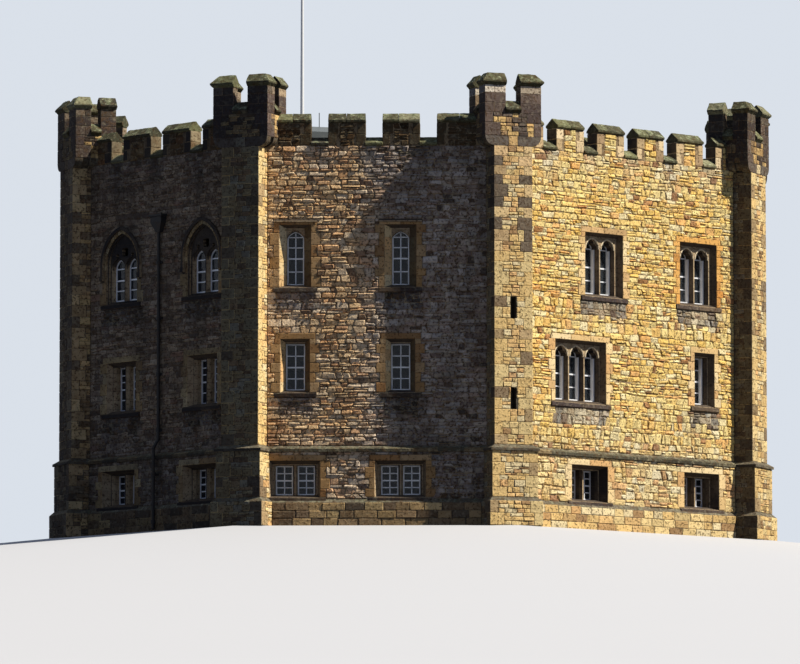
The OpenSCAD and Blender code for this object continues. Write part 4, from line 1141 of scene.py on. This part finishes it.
quoinHeap.finish("merlonQuoins", "quoinStone", "dressed_stone")


# Copings and string course.

# Profiles: width out past the wall, the underside's rise, the square edge, and the ridge's height.
copingLook = {"over": 0.01, "joint": 0.006, "step": 0.13, "rough": 0.008, "sillRough": 0.004, "out": 0.07,
              "under": 0.04, "edge": 0.06, "ridge": 0.34, "sillRidge": 0.31, "worn": 0.012, "twoFrom": 0.95}


def stoneAlong(heap, outline, start, stop, base, rough, tone, seed):
    # An outline of (v, w) points carried along the side from start to stop, a little smaller at both ends
    # where the arris is worn.
    step, worn = copingLook["step"], copingLook["worn"]
    outline = splitOutline(outline, step)
    small = shrunk(outline)
    sections = [world(np.column_stack([np.full(len(shape), u), shape]), base)
                for shape, u in ((small, start), (outline, start + worn), (outline, stop - worn), (small, stop))]
    addSweep(heap, sections, [1, max(2, int(round((stop - start) / step))), 1], still, rough, tone, seed)


def saddle(thick, high, look):
    # Flat under the wall, sloping up to a square edge on both sides, then up to a narrow ridge.
    out, low, edge = look["out"], look["under"], look["under"] + look["edge"]
    return np.array([(0, 0), (thick, 0), (thick + out, low), (thick + out, edge), (thick / 2 + 0.015, high),
                     (thick / 2 - 0.015, high), (-out, edge), (-out, low)])


copings = Heap()
rng = np.random.default_rng(400)
for i in range(8):
    base, half = sideFrame(i), crenels[i % 4]["gap"] / 2
    shape = saddle(plan["parapetT"], copingLook["ridge"], copingLook) + [0, plan["merlonTop"]]
    sill = saddle(plan["parapetT"], copingLook["sillRidge"], copingLook) + [0, plan["wallTop"]]
    for start, stop, startFree, stopFree in merlonEnds(i):
        a = start - (copingLook["over"] if startFree else 0.0)
        b = stop + (copingLook["over"] if stopFree else 0.0)
        n = 2 if b - a > copingLook["twoFrom"] else 1
        cuts = np.linspace(a, b, n + 1) + np.concatenate([[0], rng.uniform(-0.1, 0.1, n - 1), [0]])
        for p, q in pairs(cuts):
            stoneAlong(copings, shape, p + copingLook["joint"], q - copingLook["joint"], base, copingLook["rough"],
                       *draw("coping", rng))
    for middle in gapMiddles(i):
        stoneAlong(copings, sill, middle - half, middle + half, base, copingLook["sillRough"],
                   *draw("coping", rng, 1.1, 0.1))
topCopings = copings.finish("parapetCopings", "copingStone", "coping_stone")
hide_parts("parapet_copings")

headCopings = Heap()
capLook = {"half": 0.16, "out": 0.09, "under": 0.10, "edge": 0.05, "ridge": 0.42, "lineU": 0.84, "lineV": 0.56,
           "frontEnd": 0.24, "flankEnd": 0.15, "back": (0.48, 1.08), "sillFront": 0.275, "sillBack": 0.685,
           "sillFlank": 0.185, "worn": 0.015}
capShape = saddle(2 * capLook["half"], capLook["ridge"], capLook) - [capLook["half"], 0]


def capSection(kind, su, t, shape, base):
    # Across the front leg or the back, on the corner's mitre, or across a flank; t is the place along the leg.
    mid, lineU, lineV = headLook["mid"], capLook["lineU"], capLook["lineV"]
    o, w, level = shape[:, 0], shape[:, 1], np.full(len(shape), float(t))
    spots = {"front": (su * level, mid - lineV - o, w), "back": (level, mid + lineV + o, w),
             "mitre": (su * (lineU + o), mid - lineV - o, w), "flank": (su * (lineU + o), level, w)}
    return world(np.column_stack(spots[kind]), base)


for i in range(8):
    base, mid, worn = cornerFrame(i), headLook["mid"], capLook["worn"]
    cap = splitOutline(capShape, 0.12) + [0, headLook["levels"][-1]]
    small = shrunk(cap)
    sill = splitOutline(capShape, 0.14) + [0, headLook["levels"][0]]
    front, flank, (near, far) = capLook["frontEnd"], mid - capLook["flankEnd"], capLook["back"]
    # Runs of sections: kind, side, place and outline of each; then the steps between them and the roughness.
    runs = []
    for su in (-1, 1):
        legs = [("front", su, front, small), ("front", su, front + worn, cap), ("mitre", su, 0, cap),
                ("flank", su, flank - worn, cap), ("flank", su, flank, small)]
        runs.append((legs, [1, 5, 3, 1], copingLook["rough"]))
        legs = [("flank", su, near, small), ("flank", su, near + worn, cap), ("flank", su, far - worn, cap),
                ("flank", su, far, small)]
        runs.append((legs, [1, 4, 1], copingLook["rough"]))
        legs = [("flank", su, mid + t, sill) for t in (-capLook["sillFlank"], capLook["sillFlank"])]
        runs.append((legs, [3], copingLook["sillRough"]))
    for kind, half, n in (("front", capLook["sillFront"], 4), ("back", capLook["sillBack"], 9)):
        runs.append(([(kind, 1, t, sill) for t in (-half, half)], [n], copingLook["sillRough"]))
    for legs, steps, rough in runs:
        addSweep(headCopings, [capSection(*leg, base) for leg in legs], steps, still, rough, *draw("coping", rng))
headPiece = headCopings.finish("headCopings", "copingStone", "coping_stone")
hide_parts("head_copings")

# Dark sill stones over the sills: foot, back and sloping top follow the profile underneath, a little proud of it.
sillLook = {"shape": [(-0.070, -0.148), (-0.010, -0.180), (0.015, -0.180), (0.015, -0.008), (-0.070, -0.033)],
            "over": 0.012, "joint": 0.003, "rough": 0.003, "twoFrom": 0.7}
sillHeap = Heap()
for i in range(8):
    for area in windowAreas(i):
        if area["kind"] != "door":
            reach = area["half"] + sillLook["over"]
            cuts = np.linspace(-reach, reach, 2 if area["half"] < sillLook["twoFrom"] else 3) + area["u"]
            for p, q in pairs(cuts):
                shape = np.array(sillLook["shape"]) + [area["face"], area["recessFoot"]]
                stoneAlong(sillHeap, shape, p + sillLook["joint"], q - sillLook["joint"], sideFrame(i),
                           sillLook["rough"], *draw("sill", rng, sideLooks[i]["dressed"], 0.1))
sillHeap.finish("windowSills", "quoinStone", "dressed_stone")

stringLook = {"shape": np.array([(-0.187, 2.494), (0.03, 2.494), (0.03, 2.706), (-0.187, 2.588)]), "inset": 0.07,
              "length": (0.65, 1.1), "joint": 0.005, "rough": 0.003, "plinth": (0.0, 0.27, 0.53, 0.795)}
stringHeap = Heap()
for i in range(8):
    base, length = sideFrame(i), plan["lengths"][i]
    start, stop = inset(length, plan["flankUpper"] + stringLook["inset"])
    cuts = start + (stop - start) * shareLength(stop - start, stringLook["length"], rng)
    for p, q in pairs(cuts):
        stoneAlong(stringHeap, stringLook["shape"], p + stringLook["joint"], q - stringLook["joint"], base,
                   stringLook["rough"], *draw("string", rng, 0.95, 0.1))
    # Plinth stones below the chamfer, in three courses, with a gap for the door.
    start, stop = inset(length, plan["flankBase"] + wallLook["clear"])
    spans = [(start, stop)]
    if i == door["side"]:
        spans = [(start, door["u"] - door["half"]), (door["u"] + door["half"], stop)]
    quads, (gapU, gapW) = [], ashlarLook["courseGap"]
    for zLow, zHigh in pairs(stringLook["plinth"]):
        for a, b in spans:
            cuts = a + (b - a) * shareLength(b - a, ashlarLook["course"], rng)
            quads += [rectangle(p + gapU, q - gapU, zLow + gapW, zHigh - gapW) for p, q in pairs(cuts)]
    colours = tones(len(quads), "sunAshlar" if i in (1, 2) else "ashlar", rng, 0.9, 0.14, sideLooks[i]["soot"])
    addSlabs(stringHeap, quads, base, -plan["plinthOut"], ashlarLook["slab"], colours, rng)
stringHeap.finish("stringAndPlinth", "ashlarStone", "dressed_stone")
print("copings, string course and plinth laid")


# Glazing bars.

barLook = {"wide": 0.038, "deep": 0.036, "mid": 0.52, "stile": 0.045, "sillRise": 0.09, "rail": 0.06, "meeting": 0.05,
           "pointedMid": 0.33, "pointedSpring": 9.11, "lap": 0.004, "mullion": 0.15, "overSpring": 0.02,
           "highest": 0.1, "chamfer": 0.004, "tone": (0.8, 0.8, 0.78, 1)}
headRoom = {"square": 0.13, "cusped": 0.19, "arched": 0.19}
archForm = {"arched": (0.4, 0.85), "cusped": (0.15, 0.0), "pointed": (0.28, 0.0)}
# Panes across, panes high in the upper sash, panes high in the lower sash.
paneCount = {"lowTwin": (2, 2, 2), "lowSingle": (2, 2, 2), "flat": (2, 2, 2), "single": (2, 2, 2),
             "squareTwin": (2, 3, 2), "triple": (1, 2, 2), "twin": (1, 2, 2), "arched": (2, 3, 2),
             "pointed": (1, 2, 2)}


def lightsOf(u, window):
    # The middle of each light along the side, the foot of its sash, how high the sash's arch rises, and the
    # height that it springs from. The arch is struck from beyond the middle line and below the spring.
    form, lights, low = window["form"], window["lights"], window["foot"] + barLook["sillRise"]
    middles = [u + (n - (lights - 1) / 2) * (window["light"] + barLook["mullion"]) for n in range(lights)]
    rise = 0
    if form != "square":
        shift, drop = archForm[form]
        rise = window["light"] / 2 * (math.sqrt((1 + shift) ** 2 + drop ** 2 - shift ** 2) - drop)
    if form == "pointed":
        return middles, low, rise, barLook["pointedSpring"]
    return middles, low, rise, window["foot"] + window["high"] - headRoom[form] - rise


def addBars(heap, base, u, kind, rng):
    # One upright bar where a sash is two panes wide, and level bars that share each sash's height.
    middles, low, rise, spring = lightsOf(u, kinds[kind])
    lap, bar, middle = barLook["lap"], barLook["wide"] / 2, (low + spring + rise) / 2
    across, upper, lower = paneCount[kind]
    reach = kinds[kind]["light"] / 2 - barLook["stile"] + lap
    top = spring + (rise - barLook["stile"] * 1.3 if rise else -barLook["stile"])
    boxes = []
    for c in middles:
        for a, b, rows in ((low + barLook["rail"], middle - barLook["meeting"] / 2, lower),
                           (middle + barLook["meeting"] / 2, top, upper)):
            if across == 2:
                boxes.append((c - bar, c + bar, a - lap, b + lap))
            # Under an arched head the top bar lies at the spring, and the others share the height below it.
            ceiling = min(b, spring + barLook["overSpring"]) if rise else b
            shares = rows - 1 if ceiling < b else rows
            for r in range(1, rows):
                z = a + (ceiling - a) * r / shares if rise and b == top else a + (b - a) * r / rows
                if z < b - barLook["highest"]:
                    boxes.append((c - reach, c + reach, z - bar, z + bar))
    left, right, foot, top = np.array(boxes).T
    mid = np.full(len(boxes), barLook["pointedMid" if kind == "pointed" else "mid"])
    addBoxes(heap, np.column_stack([left, mid - barLook["deep"] / 2, foot]),
             np.column_stack([right, mid + barLook["deep"] / 2, top]), base, barLook["chamfer"], 0.0,
             np.tile(barLook["tone"], (len(boxes), 1)), rng)


bars = Heap()
for i in range(8):
    for u, kind in windowPlan[i % 4]:
        addBars(bars, sideFrame(i), u, kind, rng)
bars.finish("glazingBars", "windowPaint", "window_paint")


# White linings in front of the sashes, cut stone ribs round the cusped heads, and splayed jambs.

linerLook = {"wide": 0.048, "front": 0.37, "back": 0.487, "foot": 0.055, "lap": 0.002}
ribLook = {"wide": 0.050, "depths": (0.206, 0.186, 0.168, 0.186, 0.206), "reach": (0.0, 0.0, 0.5, 1.0, 1.0),
           "parts": 9, "tone": (0.92, 0.77, 0.52, 0.15)}
splayLook = {"front": 0.012, "back": 0.206, "lap": 0.004, "gap": 0.012, "joint": 0.004, "stones": 5,
             "rough": 0.002, "shades": {-1: 1.6, 1: 0.35}}


def addLiners(heap, base, c, half, low, spring, rng):
    # Two uprights and a foot round each light.
    left, right, wide, lap = c - half, c + half, linerLook["wide"], linerLook["lap"]
    for a, b, foot, top in ((left - lap, left + wide, low, spring), (right - wide, right + lap, low, spring),
                            (left, right, low, low + linerLook["foot"])):
        addBoxes(heap, [a, linerLook["front"], foot], [b, linerLook["back"], top], base, barLook["chamfer"], 0.0,
                 np.array([barLook["tone"]]), rng)


def addRibs(heap, base, c, half, spring):
    # Two arcs that meet in a point over a light, each carried up from the spring as a small pointed profile.
    shift = archForm["cusped"][0] * half
    inner = half + shift
    radius = inner + ribLook["wide"] * np.array(ribLook["reach"])
    for s in (-1, 1):
        sections = []
        for angle in np.linspace(0, math.acos(shift / (inner + ribLook["wide"] / 2)), ribLook["parts"]):
            sections.append(np.column_stack([c + s * (radius * math.cos(angle) - shift), ribLook["depths"],
                                             spring + radius * math.sin(angle)]))
        addSweep(heap, sections, [1] * (ribLook["parts"] - 1), base, 0.001, ribLook["tone"], 11)


def addSplays(heap, base, u, kind, style, rng):
    # A three-cornered stone profile from the edge of the recess to the edge of the light, in short lengths. The
    # one that the sun reaches is palest.
    window, joint = kinds[kind], splayLook["joint"]
    foot, high = window["foot"], window["high"]
    for s in (-1, 1):
        a, b = u + s * (window["recess"] / 2 - splayLook["lap"]), u + s * (window["light"] / 2 + splayLook["gap"])
        outline = np.array([(a, splayLook["front"]), (a, splayLook["back"]), (b, splayLook["back"])])
        shade = style["dressed"] * splayLook["shades"][s]
        for low, top in pairs(np.linspace(foot, foot + high, splayLook["stones"] + 1)):
            sections = [np.column_stack([outline, np.full(3, z)]) for z in (low + joint, top - joint)]
            tone = tones(1, "dressed", rng, shade, 0.10, style["soot"] * 0.5)[0]
            addSweep(heap, sections, [2], base, splayLook["rough"], tone, 5)


liners, ribs, splays = Heap(), Heap(), Heap()
for i in range(8):
    base = sideFrame(i)
    for u, kind in windowPlan[i % 4]:
        if kind in ("arched", "flat"):
            addSplays(splays, base, u, kind, sideLooks[i], rng)
        middles, low, rise, spring = lightsOf(u, kinds[kind])
        half = kinds[kind]["light"] / 2
        for c in middles if kind in ("single", "triple", "twin") else []:
            addLiners(liners, base, c, half, low, spring, rng)
            if rise:
                addRibs(ribs, base, c, half, spring)
liners.finish("sashLinings", "windowPaint", "window_paint")
ribs.finish("traceryRibs", "dressedStone", "dressed_stone")
splays.finish("splayedJambs", "dressedStone", "dressed_stone")


# Roof.

# Blocks are the flagpole's foot and the hatch: x, y and the radius that the rolls keep clear of.
roofLook = {"pitch": 0.62, "radius": 0.026, "inset": 0.50, "first": -10.54, "last": 10.6, "least": 0.5,
            "blocks": [(-3.94, 0.0, 0.32), (-3.16, -4.11, 1.25)], "shortest": 0.3, "step": 0.8, "sunk": 0.004}


def rollSpans():
    # Lead rolls run front to back; each ends at the octagon of the parapet's inner face.
    spans = []
    for x in np.arange(roofLook["first"], roofLook["last"], roofLook["pitch"]):
        low, high = -99.0, 99.0
        for i in range(8):
            point, axes = sideFrame(i)
            inward = axes[1][:2]
            offset = roofLook["inset"] - (x - point[0]) * inward[0] + point[1] * inward[1]
            if abs(inward[1]) > 1e-6:
                y = offset / inward[1]
                low, high = (max(low, y), high) if inward[1] > 0 else (low, min(high, y))
            elif (x - point[0]) * inward[0] < roofLook["inset"]:
                low, high = 0.0, 0.0
        if high - low > roofLook["least"]:
            spans.append((x, low, high))
    return spans


rolls = Heap()
angles = np.linspace(0, math.pi, 7)
rollOutline = np.column_stack([np.cos(angles), np.sin(angles)]) * roofLook["radius"]
for x, low, high in rollSpans():
    runs = [(low, high)]
    for cx, cy, r in roofLook["blocks"]:
        reach = math.sqrt(max(0.0, r * r - (x - cx) ** 2))
        cut = []
        for a, b in runs:
            clear = reach == 0 or b < cy - reach or a > cy + reach
            cut += [(a, b)] if clear else [(a, cy - reach), (cy + reach, b)]
        runs = cut
    for a, b in runs:
        if b - a > roofLook["shortest"]:
            level = plan["deckTop"] - roofLook["sunk"] + rollOutline[:, 1]
            sections = [np.column_stack([x + rollOutline[:, 0], np.full(7, y), level]) for y in (a, b)]
            steps = [max(1, int((b - a) / roofLook["step"]))]
            addSweep(rolls, sections, steps, still, 0.002, (0.3, 0.3, 0.3, 1), 7)
rolls.finish("leadRolls", "roofLead", "roof_lead")


# Back door.

# The boards end under a low pointed arch: a circle struck from beyond the middle line, on the spring.
leafLook = {"radius": 0.8, "shift": 0.14, "drop": 0.48, "tone": (0.3, 0.2, 0.1, 1)}
ironLook = {"tone": (0.1, 0.1, 0.1, 1), "straps": (0.75, 1.65), "studs": (-0.42, 0.2, 6), "ring": (0.33, 1.2),
            "ringRadius": 0.07, "wire": 0.009, "around": 24, "sides": 6}


def addDoorBox(heap, u, v, w, chamfer, rough, tone):
    # Spans along the face from the door's middle, inwards from the leaf's face, and up.
    low, high = ([door["u"] + u[k], door["leafV"] + v[k], w[k]] for k in (0, 1))
    addBoxes(heap, low, high, doorBase, chamfer, rough, np.array([tone]), rng)


doorHeap, ironHeap, doorBase = Heap(), Heap(), sideFrame(door["side"])
for a, b in pairs(np.linspace(-door["leafHalf"], door["leafHalf"], 7)):
    offset = abs((a + b) / 2) + leafLook["shift"]
    top = door["spring"] + math.sqrt(leafLook["radius"] ** 2 - offset ** 2) - leafLook["drop"]
    addDoorBox(doorHeap, (a + 0.003, b - 0.003), (-0.018, 0.01), (door["foot"], top + 0.02), 0.006, 0.001,
               leafLook["tone"])
doorHeap.finish("doorBoards", "doorTimber", "door_timber")
for z in ironLook["straps"]:
    addDoorBox(ironHeap, (-0.5, 0.28), (-0.030, -0.010), (z, z + 0.06), 0.004, 0.001, ironLook["tone"])
    for x in np.linspace(*ironLook["studs"]):
        addDoorBox(ironHeap, (x - 0.016, x + 0.016), (-0.042, -0.026), (z + 0.014, z + 0.046), 0.006, 0.0,
                   ironLook["tone"])
# The ring handle: a circle of wire, with the same number of points round the wire at every turn.
turn = np.linspace(0, 2 * math.pi, ironLook["around"] + 1)[:-1, None]
tube = np.linspace(0, 2 * math.pi, ironLook["sides"] + 1)[None, :-1]
ringU, ringZ = ironLook["ring"]
radius = ironLook["ringRadius"] + ironLook["wire"] * np.cos(tube)
ringPoints = np.stack([door["u"] + ringU + radius * np.sin(turn),
                       door["leafV"] - 0.034 + ironLook["wire"] * np.sin(tube) + 0 * turn,
                       ringZ - radius * np.cos(turn)], axis=-1).reshape(-1, 3)
ringQuads = np.roll(gridQuads(ironLook["around"], ironLook["sides"], True), -1, axis=1)
ironHeap.add(world(ringPoints, doorBase), ringQuads.ravel(), np.full(len(ringQuads), 4),
             np.tile(ironLook["tone"], (len(ringPoints), 1)))
ironHeap.finish("doorIronwork", "pipeIron", "pipe_iron")
print("windows, roof and door detailed")


# Floor, light and camera.

floorLook = {"grow": 0.8, "slope": 0.12, "sunk": 0.004, "radius": 600.0, "seen": (0.52, 0.52, 0.53, 1),
             "lit": (0.06, 0.06, 0.065, 1)}


def seenRays(tree):
    # One for what the camera sees straight or in a reflection or through glass, nought for scattered light.
    rays = put(tree, "ShaderNodeLightPath")
    mirrored = maths(tree, "MAXIMUM", rays.outputs["Is Glossy Ray"], rays.outputs["Is Transmission Ray"])
    return maths(tree, "MAXIMUM", rays.outputs["Is Camera Ray"], mirrored)


def floorNodes(tree, look):
    # The camera and the reflections see the floor pale; it throws back less light on the walls.
    return {"Base Color": mixed(tree, seenRays(tree), look["lit"], look["seen"]), "Roughness": 0.9}


def makeFloor():
    # The octagon of the foot, level, then rings that fall away by the same slope at every distance.
    reach = np.concatenate([[0.0], np.geomspace(0.5, floorLook["radius"], 26)])
    rings = []
    for i in range(8):
        turn = math.radians(45 * i - 22.5)
        out = np.array([math.sin(turn), -math.cos(turn)]) / math.cos(math.pi / 8)
        spots = planCorner(i) + out * (floorLook["grow"] + reach[:, None])
        rings.append(np.column_stack([spots, -floorLook["slope"] * reach - floorLook["sunk"]]))
    points = np.stack(rings, axis=1).reshape(-1, 3)
    quads = gridQuads(len(reach), 8)[:, [0, 3, 2, 1]]
    mesh = bpy.data.meshes.new("paleFloor")
    mesh.from_pydata(points.tolist(), [], quads.tolist() + [list(range(8))])
    mesh.polygons.foreach_set("use_smooth", np.ones(len(mesh.polygons), bool))
    addMaterial("paleFloor", floorNodes, floorLook)
    mesh.materials.append(materials["paleFloor"])
    floor = bpy.data.objects.new("paleFloor", mesh)
    bpy.context.scene.collection.objects.link(floor)


makeFloor()

lightLook = {"sun": 5.9, "sunAngle": 0.7, "azimuth": 9.3, "height": 48.5, "sunColour": (1.0, 0.95, 0.86), "fill": 0.21,
             "fillColour": (0.44, 0.62, 1.06, 1), "backdrop": (0.70, 0.75, 0.82, 1)}
sun = bpy.data.lights.new("keySun", "SUN")
sun.energy, sun.angle, sun.color = lightLook["sun"], math.radians(lightLook["sunAngle"]), lightLook["sunColour"]
sunObject = bpy.data.objects.new("keySun", sun)
# The light stands to the right, a little in front, and well up.
sunObject.rotation_euler = (math.radians(90 - lightLook["height"]), 0, math.radians(90 - lightLook["azimuth"]))
bpy.context.scene.collection.objects.link(sunObject)

studio = bpy.data.worlds.new("studio")
bpy.context.scene.world = studio
studio.use_nodes = True
tree = studio.node_tree
tree.nodes.clear()
fill = put(tree, "ShaderNodeBackground", {"Color": lightLook["fillColour"], "Strength": lightLook["fill"]})
pale = put(tree, "ShaderNodeBackground", {"Color": lightLook["backdrop"], "Strength": 1.0})
blend = put(tree, "ShaderNodeMixShader", {0: seenRays(tree), 1: fill.outputs[0], 2: pale.outputs[0]})
put(tree, "ShaderNodeOutputWorld", {0: blend.outputs[0]})

cameraLook = {"spot": (6.656, -224.732, -13.6935), "turn": 1.8317, "pitch": 5.3459, "lens": 292.89, "sensor": 36.0,
              "clip": (1.0, 2000.0)}
camera = bpy.data.objects.new("photoCamera", bpy.data.cameras.new("photoCamera"))
camera.location = cameraLook["spot"]
camera.rotation_euler = (math.radians(90 + cameraLook["pitch"]), 0, math.radians(cameraLook["turn"]))
camera.data.lens, camera.data.sensor_width = cameraLook["lens"], cameraLook["sensor"]
camera.data.clip_start, camera.data.clip_end = cameraLook["clip"]
bpy.context.scene.collection.objects.link(camera)
bpy.context.scene.camera = camera
bpy.context.scene.view_settings.view_transform = "Standard"

print("scene ready")
